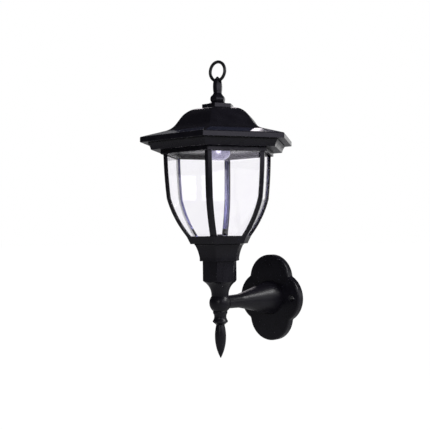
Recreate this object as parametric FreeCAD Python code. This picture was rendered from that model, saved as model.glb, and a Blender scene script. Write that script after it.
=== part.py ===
import FreeCAD, Part
import math
import os
from FreeCAD import Vector

# Solar wall lantern: a six-sided coach lamp on a trumpet arm and a quatrefoil
# wall plate. Millimetres. The origin is the middle of the plate's back face,
# +Y points into the wall, +Z is up, and the arm's axis lies on z = 0.

# ---- wall plate -------------------------------------------------------------
plate_depth = 9.0            # back face to front face
plate_wall = 2.4
side_lobe_r = 28.8           # left and right lobes
side_lobe_out = 13.7         # their centres, from the middle
end_lobe_r = 28.1            # top and bottom lobes
end_lobe_out = 22.4
notch_round = 3.0            # inside corner between two lobes
plate_edge_round = 2.2
screw_pitch = 64.0           # between the two wall screws
screw_hole_r = 2.75
screw_boss_r = 5.6
countersink_r = 4.2
arm_pad_r = 15.0             # thick middle that the arm is screwed to
arm_pad_depth = 3.0          # its depth behind the front wall

# ---- arm --------------------------------------------------------------------
reach = 99.0                 # wall to the lantern's axis
arm_tip_r = 7.1
arm_straight_r = 7.7
arm_straight = 23.0          # length before the flare starts
arm_mid_r = 13.5             # halfway along the flare
arm_foot_r = 20.0            # at the plate
arm_wall = 2.4
arm_solid = 22.0             # solid tip that takes the spigot
spigot_r = 4.4
spigot_length = 4.6
arm_screw_out = 8.5          # screws above and below the arm's axis
arm_screw_r = 1.6
arm_screw_bite = 16.0
arm_boss_r = 3.3
screw_head_over = 1.9        # head radius beyond the shank
screw_head_depth = 2.0

# ---- ball, rod and drop finial ---------------------------------------------
ball_r = 11.9
ball_top = 7.4               # flat on top, above the ball's centre
ball_foot = 8.4              # flat underneath, below the centre
rod_r = 2.4
rod_clearance = 0.2
rod_in_drop = 11.0           # how far the rod screws into the drop finial
drop_collar_r = 7.9
drop_waist_r = 6.7
drop_flange_r = 8.4
drop_neck_r = 4.6
drop_bullet_r = 6.15
drop_top_h = 15.6            # collar, waist and flange together
drop_bullet_h = 36.0         # neck to tip

# ---- lantern base -----------------------------------------------------------
neck_r = 9.4
collar_corner = 19.8         # all six-sided sizes are centre to corner
lower_cove_h = 17.2
collar_h = 21.5
band_corner = 23.2
band_h = 3.3
upper_cove_h = 14.1
base_top_corner = 29.0
base_lip_h = 1.4
base_wall = 2.7
rod_boss_r = 4.8

# ---- cage -------------------------------------------------------------------
cup_foot_corner = 33.5
cup_top_corner = 37.9
cup_h = 8.3
cup_floor = 2.4
cup_seat = 4.6               # width of the ledge that the panes stand on
cage_h = 88.9                # cup to top ring
knee_h = 41.0                # height of the bend in the ribs above the cup
knee_corner = 59.8
knee_sag = 2.4               # bulge of the lower bow beyond its chord
cage_top_corner = 63.1
upper_sag = 0.6
rib_flange = 4.3             # each side of the corner
rib_wall = 2.0
pane_wall = 1.5
pane_gap = 0.1
ring_corner = 66.3
ring_h = 4.5
ring_tongue = 2.0            # rib tops stand in the ring's groove this deep
ring_inner_lip = 1.5

cap_nut_r = 7.4
cap_nut_side = 4.8
cap_nut_dome = 2.7
washer_r = 9.5
washer_h = 1.0

# ---- roof -------------------------------------------------------------------
roof_wall = 2.2
rim_corner = 89.0
rim_h = 5.7
rim_edge = 0.6
skirt_corner = 61.0          # where the skirt meets the dome's foot
skirt_rise = 7.2
dome_foot_corner = 48.8
dome_foot_rise = 7.6
dome_shoulder_corner = 43.5
dome_shoulder_rise = 6.8
dome_top_corner = 20.0
dome_rise = 11.9
cornice_top_corner = 80.5
cornice_foot_corner = 77.0
cornice_h = 6.9
gasket_h = 0.8
gasket_w = 2.0
cell_wall = 1.2              # solar strip, flush with the skirt
cell_margin = 3.2
cell_gap = 0.15
roof_boss_out = 44.0
roof_boss_r = 3.6
tray_screw_r = 1.5
tray_screw_bite = 9.0
boss_joint_rise = 8.0        # tray boss height above the tray's floor

# ---- light tray and electrics ----------------------------------------------
tray_floor = 2.2
plug_gap = 0.4               # roof plug inside the cage's top ring
plug_wall = 1.6
plug_h = 3.4
lens_r = 12.9
lens_bend = 5.6              # height of its rounded edge
lens_flange = 2.0
lens_flange_h = 1.2
lens_wall = 1.3
lens_drop = 9.0              # lens below the tray
lens_gap = 0.2
led_r = 2.5
led_length = 10.5
board_rise = 5.3             # board above the tray's floor
board_wall = 1.6
board_x = 56.0
board_y = 34.0
board_centre_y = 6.0
post_r = 2.6
post_inset = 4.0
board_screw_r = 1.0
chip_x = 9.0
chip_y = 6.0
chip_h = 1.8
battery_r = 7.1
battery_length = 50.0
battery_tip_r = 2.8
battery_tip_h = 1.2
cradle_wall = 1.2
cradle_h = 9.5
cradle_gap = 0.3
cradle_out = 24.2            # battery axis in front of the lantern's axis
contact_wall = 0.5
contact_room = 2.6           # between the battery's end and the contact plate
contact_w = 9.0
tab_h = 3.0
nub_r = 2.0
switch_x = 18.0
switch_y = 12.0
switch_wall = 0.9
switch_travel = 3.0
slider_head_x = 4.2
slider_head_y = 2.4
slider_head_h = 1.6
slider_knob_x = 2.4
slider_knob_y = 1.8
slider_out = 1.4             # knob below the tray
slide_gap = 0.3
lead_r = 0.7
lead_rise = 5.0
link_drop = 4.5
link_from_corner = 12.0
solar_lead_out = 17.0        # solar leads, from the middle of their strips

# ---- roof finial and ring ---------------------------------------------------
finial_foot_corner = 18.4
finial_foot_h = 4.2
finial_slope_corner = 8.6
finial_slope_h = 2.4
knob_corner = 8.8
knob_h = 8.4
knob_top_h = 2.4
waist_corner = 4.9
bulge_corner = 5.5
bulge_h = 14.0               # waist to shoulder
shoulder_corner = 4.7
tip_h = 4.3
tip_corner = 0.9             # blunt end
ring_r = 10.4                # centre line of the hanging ring
ring_wire_r = 1.75
eye_gap = 0.35
eye_below_shoulder = 0.2
stud_r = 3.0
stud_gap = 0.2
stud_length = 9.0
nut_corner = 5.6
nut_h = 4.4

# ---- places worked out from the sizes --------------------------------------
flat = math.cos(math.radians(30.0))      # centre to flat, over centre to corner
axis_y = -reach
plate_front = -plate_depth
arm_foot = reach - plate_depth
arm_tip = math.sqrt(ball_r ** 2 - arm_tip_r ** 2)

neck_z = ball_top
collar_z = neck_z + lower_cove_h
band_z = collar_z + collar_h
cove_z = band_z + band_h
base_lip_z = cove_z + upper_cove_h
cup_z = base_lip_z + base_lip_h
cup_floor_z = cup_z + cup_floor
cup_top = cup_z + cup_h
knee_z = cup_top + knee_h
ring_z = cup_top + cage_h
ring_top = ring_z + ring_h
rib_top = ring_z + ring_tongue

tray_z = ring_top
floor_z = tray_z + tray_floor
cornice_top = tray_z + cornice_h
rim_z = cornice_top + gasket_h
rim_top = rim_z + rim_h
skirt_z = rim_top + skirt_rise
dome_foot_z = skirt_z + dome_foot_rise
dome_shoulder_z = dome_foot_z + dome_shoulder_rise
roof_top = dome_shoulder_z + dome_rise
tray_hollow_corner = cornice_foot_corner - plate_wall / flat
groove_out = cage_top_corner + pane_gap / flat
pane_inset = rib_wall + pane_gap
cage_inset = pane_inset + pane_wall
groove_in = cage_top_corner - (cage_inset + 2 * pane_gap) / flat
ring_inner = groove_in - ring_inner_lip / flat
plug_corner = ring_inner - plug_gap / flat
board_z = floor_z + board_rise
board_top = board_z + board_wall
battery_z = floor_z + cradle_wall + battery_r
cradle_y = -cradle_out
skirt_slope = math.atan2(skirt_rise, (rim_corner - skirt_corner) * flat)

waist_z = roof_top + finial_foot_h + finial_slope_h + knob_h + knob_top_h
shoulder_z = waist_z + bulge_h
finial_top = shoulder_z + tip_h
hinge_z = shoulder_z - eye_below_shoulder
sides = 6                    # of the lantern
turned_tip_r = 0.4           # small flat where a turned dome meets its axis
far = 140.0                  # longer than any piece here is wide


# ---- helpers ----------------------------------------------------------------
def at(x, z):
    """A point in the upright plane that outlines are drawn in."""
    return Vector(x, 0, z)


def outline(start, steps):
    """Edges from a start through line ends and (middle, end) arcs."""
    edges = []
    here = at(*start)
    for step in steps:
        if isinstance(step[0], tuple):
            end = at(*step[1])
            edges.append(Part.Arc(here, at(*step[0]), end).toShape())
        else:
            end = at(*step)
            edges.append(Part.LineSegment(here, end).toShape())
        here = end
    return edges


def turned(start, steps):
    """Solid of revolution about Z from an outline that runs off the axis."""
    edges = outline(start, steps)
    first = at(*start)
    last_step = steps[-1][1] if isinstance(steps[-1][0], tuple) else steps[-1]
    last = at(*last_step)
    closing = [last, at(0, last.z), at(0, first.z), first]
    for a, b in zip(closing, closing[1:]):
        if a.distanceToPoint(b) > 1e-6:
            edges.append(Part.LineSegment(a, b).toShape())
    face = Part.Face(Part.Wire(Part.__sortEdges__(edges)))
    return face.revolve(Vector(0, 0, 0), Vector(0, 0, 1), 360)


def six_profile(start, steps):
    """Face of an outline and its mirror image; sizes are centre to corner."""
    def narrow(point):
        return (point[0] * flat, point[1])

    slim = []
    for step in steps:
        if isinstance(step[0], tuple):
            slim.append((narrow(step[0]), narrow(step[1])))
        else:
            slim.append(narrow(step))
    first = narrow(start)
    last = slim[-1][1] if isinstance(slim[-1][0], tuple) else slim[-1]
    right = outline(first, slim)
    left = [edge.mirror(Vector(0, 0, 0), Vector(1, 0, 0)) for edge in right]
    edges = right + left
    for x, z in (first, last):
        if x > 1e-6:
            edges.append(Part.LineSegment(at(x, z), at(-x, z)).toShape())
    return Part.Face(Part.Wire(Part.__sortEdges__(edges)))


def six_sided(face):
    """Hexagonal solid whose six flats all follow the profile face."""
    bar = face.translated(Vector(0, -far, 0)).extrude(Vector(0, 2 * far, 0))
    bars = [bar.rotated(Vector(0, 0, 0), Vector(0, 0, 1), 30 + 60 * i) for i in range(3)]
    return bars[0].common(bars[1]).common(bars[2])


def hex_form(start, steps):
    return six_sided(six_profile(start, steps))


def hex_bar(corner, low, high):
    """Plain hexagonal prism with corners on the X axis."""
    points = []
    for i in range(sides + 1):
        angle = math.radians(60 * i)
        points.append(Vector(corner * math.cos(angle), corner * math.sin(angle), low))
    return Part.Face(Part.makePolygon(points)).extrude(Vector(0, 0, high - low))


def rod_between(x, y, low, high, radius):
    return Part.makeCylinder(radius, high - low, Vector(x, y, low))


def block(size_x, size_y, low, high, x=0.0, y=0.0):
    corner = Vector(x - size_x / 2, y - size_y / 2, low)
    return Part.makeBox(size_x, size_y, high - low, corner)


def around(shape, angle):
    return shape.rotated(Vector(0, 0, 0), Vector(0, 0, 1), angle)


def along_y(shape):
    """Lay a shape made about Z along +Y, with its z = 0 at the lantern's axis."""
    return shape.rotated(Vector(0, 0, 0), Vector(1, 0, 0), -90)


def fused(shapes):
    result = shapes[0]
    for shape in shapes[1:]:
        result = result.fuse(shape)
    return result.removeSplitter()


def tube(points, radius):
    """Round lead through the points, its bends as wide as its runs allow."""
    edges = []
    here = points[0]
    for before, point, after in zip(points, points[1:], points[2:]):
        back = before - point
        ahead = after - point
        turn = math.pi - back.getAngle(ahead)
        trim = 0.45 * min(back.Length, ahead.Length)
        bend = trim / math.tan(turn / 2)
        back.normalize()
        ahead.normalize()
        middle = back + ahead
        middle.normalize()
        centre_off = bend / math.cos(turn / 2)
        start = point + back * trim
        end = point + ahead * trim
        top = point + middle * (centre_off - bend)
        edges.append(Part.LineSegment(here, start).toShape())
        edges.append(Part.Arc(start, top, end).toShape())
        here = end
    edges.append(Part.LineSegment(here, points[-1]).toShape())
    path = Part.Wire(edges)
    heading = points[1] - points[0]
    ring = Part.Wire(Part.Circle(points[0], heading, radius).toShape())
    return path.makePipeShell([ring], True, False)


# ---- wall plate and arm -----------------------------------------------------
def quatrefoil(inset, low, high):
    """Four lobes as one bar along Y, from y = low to y = high."""
    lobes = []
    for sign in (-1, 1):
        lobes.append((sign * side_lobe_out, 0, side_lobe_r - inset))
        lobes.append((0, sign * end_lobe_out, end_lobe_r - inset))
    bars = [Part.makeCylinder(r, high - low, Vector(x, low, z), Vector(0, 1, 0))
            for x, z, r in lobes]
    return fused(bars)


def make_wall_plate():
    plate = quatrefoil(0, plate_front, 0)
    notches = [edge for edge in plate.Edges
               if len(edge.Vertexes) == 2 and abs(edge.tangentAt(edge.FirstParameter).y) > 0.99]
    plate = plate.makeFillet(notch_round, notches)
    front = [edge for edge in plate.Edges
             if abs(edge.BoundBox.YMin - plate_front) < 1e-4 and edge.BoundBox.YLength < 1e-4]
    plate = plate.makeFillet(plate_edge_round, front)
    plate = plate.cut(quatrefoil(plate_wall, plate_front + plate_wall, plate_wall))

    def round_bar(x, z, radius, low, high):
        return Part.makeCylinder(radius, high - low, Vector(x, low, z), Vector(0, 1, 0))

    pad_back = plate_front + plate_wall + arm_pad_depth
    holes = []
    bosses = [round_bar(0, 0, arm_pad_r, plate_front, pad_back)]
    for sign in (-1, 1):
        x = sign * screw_pitch / 2
        bosses.append(round_bar(x, 0, screw_boss_r, plate_front + plate_edge_round, 0))
        holes.append(round_bar(x, 0, screw_hole_r, plate_front - 1, 1))
        sink = countersink_r - screw_hole_r
        holes.append(Part.makeCone(countersink_r, screw_hole_r, sink,
                                   Vector(x, plate_front, 0), Vector(0, 1, 0)))
        z = sign * arm_screw_out
        holes.append(round_bar(0, z, arm_screw_r + pane_gap, plate_front - 1, 1))
    return fused([plate] + bosses).cut(Part.Compound(holes))


def make_arm():
    """Trumpet arm about Z, laid along Y, its wide foot on the plate."""
    flare = arm_tip + arm_straight
    middle = (flare + arm_foot) / 2
    body = turned((arm_tip_r, arm_tip), [
        (arm_straight_r, flare),
        ((arm_mid_r, middle), (arm_foot_r, arm_foot))])
    spigot = rod_between(0, 0, arm_tip - spigot_length, arm_tip + 1, spigot_r)
    body = fused([body, spigot])
    throat = flare + arm_solid - arm_straight / 2
    hollow = turned((arm_straight_r - arm_wall, throat), [
        ((arm_mid_r - arm_wall, middle + arm_wall), (arm_foot_r - arm_wall, arm_foot + 1))])
    bosses = []
    pilots = []
    for sign in (-1, 1):
        z = sign * arm_screw_out
        top = arm_foot - arm_screw_bite
        bosses.append(rod_between(0, z, throat, arm_foot, arm_boss_r))
        pilots.append(rod_between(0, z, top - 1, arm_foot + 1, arm_screw_r + 0.05))
    body = body.cut(hollow.cut(Part.Compound(bosses)))
    body = body.cut(Part.Compound(pilots))
    return along_y(body)


def make_arm_screws():
    pad_back = plate_wall + arm_pad_depth
    screws = []
    for sign in (-1, 1):
        z = sign * arm_screw_out
        shank = rod_between(0, z, arm_foot - arm_screw_bite, arm_foot + pad_back, arm_screw_r)
        head = rod_between(0, z, arm_foot + pad_back, arm_foot + pad_back + screw_head_depth,
                           arm_screw_r + screw_head_over)
        screws.append(along_y(shank.fuse(head).removeSplitter()))
    return Part.Compound(screws)


def make_ball_hub():
    ball = Part.makeSphere(ball_r)
    keep = block(4 * ball_r, 4 * ball_r, -ball_foot, ball_top)
    ball = ball.common(keep)
    seat = along_y(rod_between(0, 0, arm_tip, 2 * ball_r, 2 * ball_r))
    socket = along_y(rod_between(0, 0, arm_tip - spigot_length, ball_r, spigot_r + 0.05))
    bore = rod_between(0, 0, -ball_r, ball_r, rod_r + rod_clearance)
    return ball.cut(seat).cut(socket).cut(bore)


# ---- the axis: drop finial, rod and base ------------------------------------
def make_drop_finial():
    top = -ball_foot
    collar = top - 0.16 * drop_top_h
    waist = top - 0.4 * drop_top_h
    flange = top - 0.76 * drop_top_h
    neck = top - drop_top_h
    tip = neck - drop_bullet_h
    body = turned((0.95 * drop_collar_r, top), [
        ((drop_collar_r, collar), (0.9 * drop_collar_r, collar - 0.1 * drop_top_h)),
        ((drop_waist_r, waist), (0.97 * drop_flange_r, flange + 0.06 * drop_top_h)),
        ((drop_flange_r, flange), (0.88 * drop_flange_r, flange - 0.08 * drop_top_h)),
        (drop_neck_r, neck),
        ((drop_bullet_r, neck - 0.36 * drop_bullet_h),
         (0.57 * drop_bullet_r, tip + 0.2 * drop_bullet_h)),
        ((0.26 * drop_bullet_r, tip + 0.07 * drop_bullet_h), (turned_tip_r, tip))])
    bore = rod_between(0, 0, top - rod_in_drop, 0, rod_r + 0.05)
    return body.cut(bore)


def make_tie_rod():
    return rod_between(0, 0, -ball_foot - rod_in_drop, cup_floor_z + washer_h + cap_nut_side, rod_r)


def make_lantern_base():
    """Hexagonal collar and coves, turned round below the collar."""
    cove_mid = cove_z + 0.46 * upper_cove_h
    body = hex_form((collar_corner, neck_z), [
        (collar_corner, band_z),
        (band_corner, band_z),
        (band_corner, cove_z),
        ((band_corner + 0.28 * (base_top_corner - band_corner), cove_mid),
         (base_top_corner - 0.8, base_lip_z)),
        (base_top_corner, base_lip_z),
        (base_top_corner, cup_z)])
    lathe = turned((neck_r, neck_z), [
        (neck_r + 0.2, neck_z + 0.2 * lower_cove_h),
        ((neck_r + 3.3, neck_z + 0.66 * lower_cove_h), (collar_corner + 0.1, collar_z)),
        (far, collar_z),
        (far, cup_z)])
    body = body.common(lathe)
    hollow_r = collar_corner * flat - base_wall
    hollow = rod_between(0, 0, collar_z + base_wall, cup_z + 1, hollow_r)
    boss = rod_between(0, 0, collar_z, cup_z, rod_boss_r)
    bore = rod_between(0, 0, 0, cup_z + 1, rod_r + rod_clearance)
    return body.cut(hollow).fuse(boss).removeSplitter().cut(bore)


# ---- cage -------------------------------------------------------------------
def bow(corner_a, z_a, corner_b, z_b, sag):
    """Middle point of an arc from a to b that bulges outwards by sag."""
    run = math.hypot(corner_b - corner_a, z_b - z_a)
    out_x = abs(z_b - z_a) / run
    down_z = -abs(corner_b - corner_a) / run
    return ((corner_a + corner_b) / 2 + sag * out_x, (z_a + z_b) / 2 + sag * down_z)


def cage_profile(inset):
    """Curved outer face of the cage, moved inwards by inset."""
    extra = 12.0
    low_mid = bow(cup_top_corner, cup_top, knee_corner, knee_z, knee_sag)
    high_mid = bow(knee_corner, knee_z, cage_top_corner, ring_z, upper_sag)
    foot_lean = (low_mid[0] - cup_top_corner) / (low_mid[1] - cup_top)
    face = six_profile((cup_top_corner - extra * foot_lean, cup_top - extra), [
        (cup_top_corner, cup_top),
        (low_mid, (knee_corner, knee_z)),
        (high_mid, (cage_top_corner, ring_z)),
        (cage_top_corner, ring_z + extra)])
    if inset:
        wire = face.OuterWire.makeOffset2D(-inset, 2)
        face = Part.Face(wire)
    return face


def cage_shell(outer_inset, inner_inset, low, high):
    shell = six_sided(cage_profile(outer_inset)).cut(six_sided(cage_profile(inner_inset)))
    return shell.common(hex_bar(far, low, high))


def make_cage_frame():
    shell = cage_shell(0, rib_wall, cup_top - 1, rib_top)
    half = rib_flange * flat
    ribs = []
    for i in range(sides):
        slot = block(far, 2 * half, cup_z, rib_top, far / 2 + 5)
        ribs.append(shell.common(around(slot, 60 * i)))
    cup = hex_form((cup_foot_corner, cup_z), [(cup_top_corner, cup_top)])
    well_corner = cup_top_corner - cup_seat / flat
    cup = cup.cut(hex_bar(well_corner, cup_floor_z, cup_top + 1))
    cup = cup.cut(rod_between(0, 0, 0, cup_top, rod_r + rod_clearance))
    trimmed = [rib.common(hex_bar(far, cup_top, rib_top)) for rib in ribs]
    return fused([cup] + trimmed)


def make_pane(i):
    """One clear bent sheet between two ribs, mitred at its edges."""
    sheet = cage_shell(pane_inset, cage_inset, cup_top, rib_top)
    lean = math.radians(30)
    wedge = Part.makePolygon([
        Vector(pane_gap / math.sin(lean), 0, cup_top),
        Vector(far, far * math.tan(lean) - pane_gap / flat, cup_top),
        Vector(far, pane_gap / flat - far * math.tan(lean), cup_top),
        Vector(pane_gap / math.sin(lean), 0, cup_top)])
    wedge = Part.Face(wedge).extrude(Vector(0, 0, rib_top - cup_top))
    return sheet.common(around(wedge, 30 + 60 * i))


def make_cage_top_ring():
    ring = hex_bar(ring_corner, ring_z, ring_top).cut(hex_bar(ring_inner, ring_z - 1, ring_top + 1))
    groove = hex_bar(groove_out, ring_z - 1, rib_top).cut(hex_bar(groove_in, ring_z - 2, rib_top + 1))
    return ring.cut(groove)


def make_rod_washer():
    washer = rod_between(0, 0, cup_floor_z, cup_floor_z + washer_h, washer_r)
    return washer.cut(rod_between(0, 0, 0, cup_top, rod_r + rod_clearance))


def make_cap_nut():
    foot = cup_floor_z + washer_h
    shoulder = foot + cap_nut_side
    top = shoulder + cap_nut_dome
    nut = turned((cap_nut_r, foot), [
        (cap_nut_r, shoulder),
        ((0.56 * cap_nut_r, shoulder + 0.7 * cap_nut_dome), (turned_tip_r, top))])
    return nut.cut(rod_between(0, 0, foot - 1, shoulder, rod_r + 0.05))


# ---- roof -------------------------------------------------------------------
def roof_profile():
    """Rim, sloping skirt, dished foot and dome."""
    return six_profile((rim_corner, rim_z), [
        (rim_corner, rim_top - rim_edge),
        (rim_corner - rim_edge, rim_top),
        (skirt_corner, skirt_z),
        ((0.39 * skirt_corner + 0.61 * dome_foot_corner, skirt_z + 0.435 * dome_foot_rise),
         (dome_foot_corner, dome_foot_z)),
        (dome_shoulder_corner, dome_shoulder_z),
        ((0.535 * dome_shoulder_corner + 0.465 * dome_top_corner, dome_shoulder_z + 0.735 * dome_rise),
         (dome_top_corner, roof_top)),
        (0, roof_top)])


def cell_plan(side_gap):
    """Solar strip in its own plane: x outwards from the skirt's top edge."""
    run = (rim_corner - skirt_corner) * flat / math.cos(skirt_slope)
    inner = cell_margin + side_gap
    outer = run - cell_margin - side_gap
    corners = []
    for x in (inner, outer):
        half = (skirt_corner * flat + x * math.cos(skirt_slope)) * math.tan(math.radians(30))
        corners.append((x, half - (cell_margin + side_gap) / flat))
    return corners


def make_cell(i, side_gap, above, below):
    """Strip or its recess, set along the skirt's slope on side i."""
    (x_in, w_in), (x_out, w_out) = cell_plan(side_gap)
    points = [Vector(x_in, -w_in, below), Vector(x_out, -w_out, below),
              Vector(x_out, w_out, below), Vector(x_in, w_in, below)]
    strip = Part.Face(Part.makePolygon(points + points[:1])).extrude(Vector(0, 0, above - below))
    strip = strip.rotated(Vector(0, 0, 0), Vector(0, 1, 0), math.degrees(skirt_slope))
    strip = strip.translated(Vector(skirt_corner * flat, 0, skirt_z))
    return around(strip, 30 + 60 * i)


def roof_boss_places():
    places = []
    for i in range(3):
        angle = math.radians(30 + 120 * i)
        places.append((roof_boss_out * math.cos(angle), roof_boss_out * math.sin(angle)))
    return places


def solar_lead_places():
    """Where the two solar leads leave the strips, either side of one corner."""
    places = []
    mid = (skirt_corner + rim_corner) / 2 * flat
    for angle, side in ((30, 1), (90, -1)):
        spot = around(Part.Vertex(mid, side * solar_lead_out, 0), angle).Point
        places.append(spot)
    return places


def link_ends():
    """Both ends of the wire that joins two strips across each of five corners."""
    mid = (skirt_corner + rim_corner) / 2 * flat
    side = mid * math.tan(math.radians(30)) - link_from_corner
    pairs = []
    for i in (1, 2, 3, 4, 5):
        one = around(Part.Vertex(mid, side, 0), 30 + 60 * i).Point
        two = around(Part.Vertex(mid, -side, 0), 90 + 60 * i).Point
        pairs.append((one, two))
    return pairs


def skirt_under_cell():
    """Height at which a lead's square end meets a strip's sloping underside."""
    mid = (rim_corner - skirt_corner) / 2 * flat + lead_r
    return skirt_z - mid * math.tan(skirt_slope) - cell_wall / math.cos(skirt_slope)


def make_roof_shell():
    outer_face = roof_profile()
    outer = six_sided(outer_face)
    inner_face = Part.Face(outer_face.OuterWire.makeOffset2D(-roof_wall, 2))
    inner = six_sided(inner_face)
    mouth = hex_bar(tray_hollow_corner, rim_z - 1, rim_z + roof_wall + 0.5)
    joint_z = floor_z + boss_joint_rise
    bosses = [rod_between(x, y, joint_z, roof_top, roof_boss_r) for x, y in roof_boss_places()]
    pilots = [rod_between(x, y, joint_z - 1, joint_z + tray_screw_bite + 1, tray_screw_r + 0.05)
              for x, y in roof_boss_places()]
    cells = [make_cell(i, 0, 5, -cell_wall) for i in range(sides)]
    under = skirt_under_cell()
    wires = [rod_between(p.x, p.y, under - 2 * roof_wall, under + cell_wall / 2, lead_r + 0.3)
             for p in solar_lead_places() + [end for pair in link_ends() for end in pair]]
    stud_hole = rod_between(0, 0, 0, roof_top + 1, stud_r + stud_gap)
    shell = outer.cut(inner).cut(mouth)
    boss_bars = Part.Compound(bosses).common(outer)
    shell = shell.fuse(boss_bars).removeSplitter()
    return shell.cut(Part.Compound(cells)).cut(Part.Compound(wires + pilots + [stud_hole]))


def make_light_tray():
    cornice_mid = (0.62 * cornice_foot_corner + 0.38 * cornice_top_corner, tray_z + 0.55 * cornice_h)
    body = hex_form((cornice_foot_corner, tray_z), [
        (cornice_mid, (cornice_top_corner, cornice_top))])
    body = body.cut(hex_bar(tray_hollow_corner, floor_z, cornice_top + 1))
    plug = hex_bar(plug_corner, tray_z - plug_h, tray_z)
    plug = plug.cut(hex_bar(plug_corner - plug_wall / flat, tray_z - plug_h - 1, tray_z + 1))
    joint_z = floor_z + boss_joint_rise
    solids = [body, plug]
    holes = []
    for x, y in roof_boss_places():
        solids.append(rod_between(x, y, tray_z, joint_z, roof_boss_r))
        holes.append(rod_between(x, y, 0, joint_z + 1, tray_screw_r + 0.15))
        holes.append(rod_between(x, y, 0, tray_z + screw_head_depth,
                                 tray_screw_r + screw_head_over + 0.2))
    for x, y in post_places():
        solids.append(rod_between(x, y, tray_z, board_z, post_r))
        holes.append(rod_between(x, y, floor_z, board_z + 1, board_screw_r + 0.05))
    holes.append(rod_between(0, 0, 0, floor_z + 1, lens_r + lens_gap))
    slot_x = slider_knob_x + switch_travel + 2 * slide_gap
    slot_y = slider_knob_y + 2 * slide_gap
    holes.append(block(slot_x, slot_y, 0, floor_z + 1, switch_x, switch_y))
    return fused(solids).cut(Part.Compound(holes))


def make_tray_gasket():
    out = cornice_top_corner - 0.6 / flat
    ring = hex_bar(out, cornice_top, rim_z)
    return ring.cut(hex_bar(out - gasket_w / flat, cornice_top - 1, rim_z + 1))


def make_tray_screws():
    joint_z = floor_z + boss_joint_rise
    screws = []
    for x, y in roof_boss_places():
        head_top = tray_z + screw_head_depth
        head = rod_between(x, y, head_top - screw_head_depth + 0.2, head_top,
                           tray_screw_r + screw_head_over)
        shank = rod_between(x, y, head_top, joint_z + tray_screw_bite, tray_screw_r)
        screws.append(head.fuse(shank).removeSplitter())
    return Part.Compound(screws)


# ---- electrics on the tray --------------------------------------------------
def post_places():
    x = board_x / 2 - post_inset
    y = board_y / 2 - post_inset
    return [(sx * x, board_centre_y + sy * y) for sx in (-1, 1) for sy in (-1, 1)]


def make_circuit_board():
    board = block(board_x, board_y, board_z, board_top, 0, board_centre_y)
    chips = block(chip_x, chip_y, board_top, board_top + chip_h, -0.2 * board_x, board_centre_y)
    coil = rod_between(0.12 * board_x, board_centre_y, board_top, board_top + 2 * chip_h, chip_y / 2)
    board = fused([board, chips, coil])
    holes = [rod_between(x, y, board_z - 1, board_top + 1, board_screw_r + 0.15)
             for x, y in post_places()]
    return board.cut(Part.Compound(holes))


def make_board_screws():
    screws = []
    for x, y in post_places():
        shank = rod_between(x, y, floor_z + 0.5, board_top, board_screw_r)
        head = rod_between(x, y, board_top, board_top + 0.6 * screw_head_depth, post_r - 0.6)
        screws.append(shank.fuse(head).removeSplitter())
    return Part.Compound(screws)


def make_led():
    foot = board_z - 0.3 * led_length
    body = turned((led_r + 0.4, board_z), [
        (led_r + 0.4, foot),
        (led_r, foot),
        (led_r, board_z - led_length + led_r),
        ((led_r * math.sin(math.radians(45)), board_z - led_length + led_r * (1 - flat * 0.816)),
         (turned_tip_r, board_z - led_length))])
    return body


def make_led_lens():
    """Shallow cover that hangs by its flange in the tray's middle."""
    def dome(radius, low):
        return turned((radius, floor_z), [
            (radius, low + lens_bend),
            ((radius * 0.78, low + lens_bend * 0.26), (turned_tip_r, low))])

    outer = dome(lens_r, tray_z - lens_drop)
    flange = rod_between(0, 0, floor_z, floor_z + lens_flange_h, lens_r + lens_flange)
    hollow = dome(lens_r - lens_wall, tray_z - lens_drop + lens_wall)
    mouth = rod_between(0, 0, floor_z, floor_z + lens_flange_h + 1, lens_r - lens_wall)
    return fused([outer, flange]).cut(hollow).cut(mouth)


def make_battery():
    """Rechargeable cell lying along X, with its raised end at +X."""
    half = battery_length / 2
    body = turned((battery_r - 0.5, -half), [
        (battery_r, 0.5 - half),
        (battery_r, half - battery_tip_h - 0.5),
        (battery_r - 0.5, half - battery_tip_h),
        (battery_tip_r, half - battery_tip_h),
        (battery_tip_r, half)])
    body = body.rotated(Vector(0, 0, 0), Vector(0, 1, 0), 90)
    return body.translated(Vector(0, cradle_y, battery_z))


def cradle_half():
    return battery_length / 2 + contact_room + contact_wall


def make_battery_cradle():
    size_x = 2 * (cradle_half() + cradle_wall)
    size_y = 2 * (battery_r + cradle_gap + cradle_wall)
    box = block(size_x, size_y, floor_z, floor_z + cradle_h, 0, cradle_y)
    room = block(2 * cradle_half(), 2 * (battery_r + cradle_gap), floor_z + cradle_wall,
                 floor_z + cradle_h + 1, 0, cradle_y)
    return box.cut(room)


def make_battery_contacts():
    pieces = []
    top = floor_z + cradle_h + tab_h
    for sign in (-1, 1):
        x = sign * (cradle_half() - contact_wall / 2)
        plate = block(contact_wall, contact_w, floor_z + cradle_wall, top, x, cradle_y)
        nub = Part.makeCone(nub_r * 1.5, nub_r, contact_room,
                            Vector(sign * (cradle_half() - contact_wall), cradle_y, battery_z),
                            Vector(-sign, 0, 0))
        pieces.append(plate.fuse(nub).removeSplitter())
    return Part.Compound(pieces)


def make_switch_body():
    room_x = slider_head_x + switch_travel + 2 * slide_gap
    room_y = slider_head_y + 2 * slide_gap
    low = floor_z + slide_gap
    body = block(room_x + 2 * switch_wall, room_y + 2 * switch_wall, low, board_z,
                 switch_x, switch_y)
    room_top = low + switch_wall + slider_head_h + 2 * slide_gap
    room = block(room_x, room_y, low + switch_wall, room_top, switch_x, switch_y)
    slot_x = slider_knob_x + switch_travel + 2 * slide_gap
    slot = block(slot_x, slider_knob_y + 2 * slide_gap, 0, room_top, switch_x, switch_y)
    return body.cut(room).cut(slot)


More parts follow.
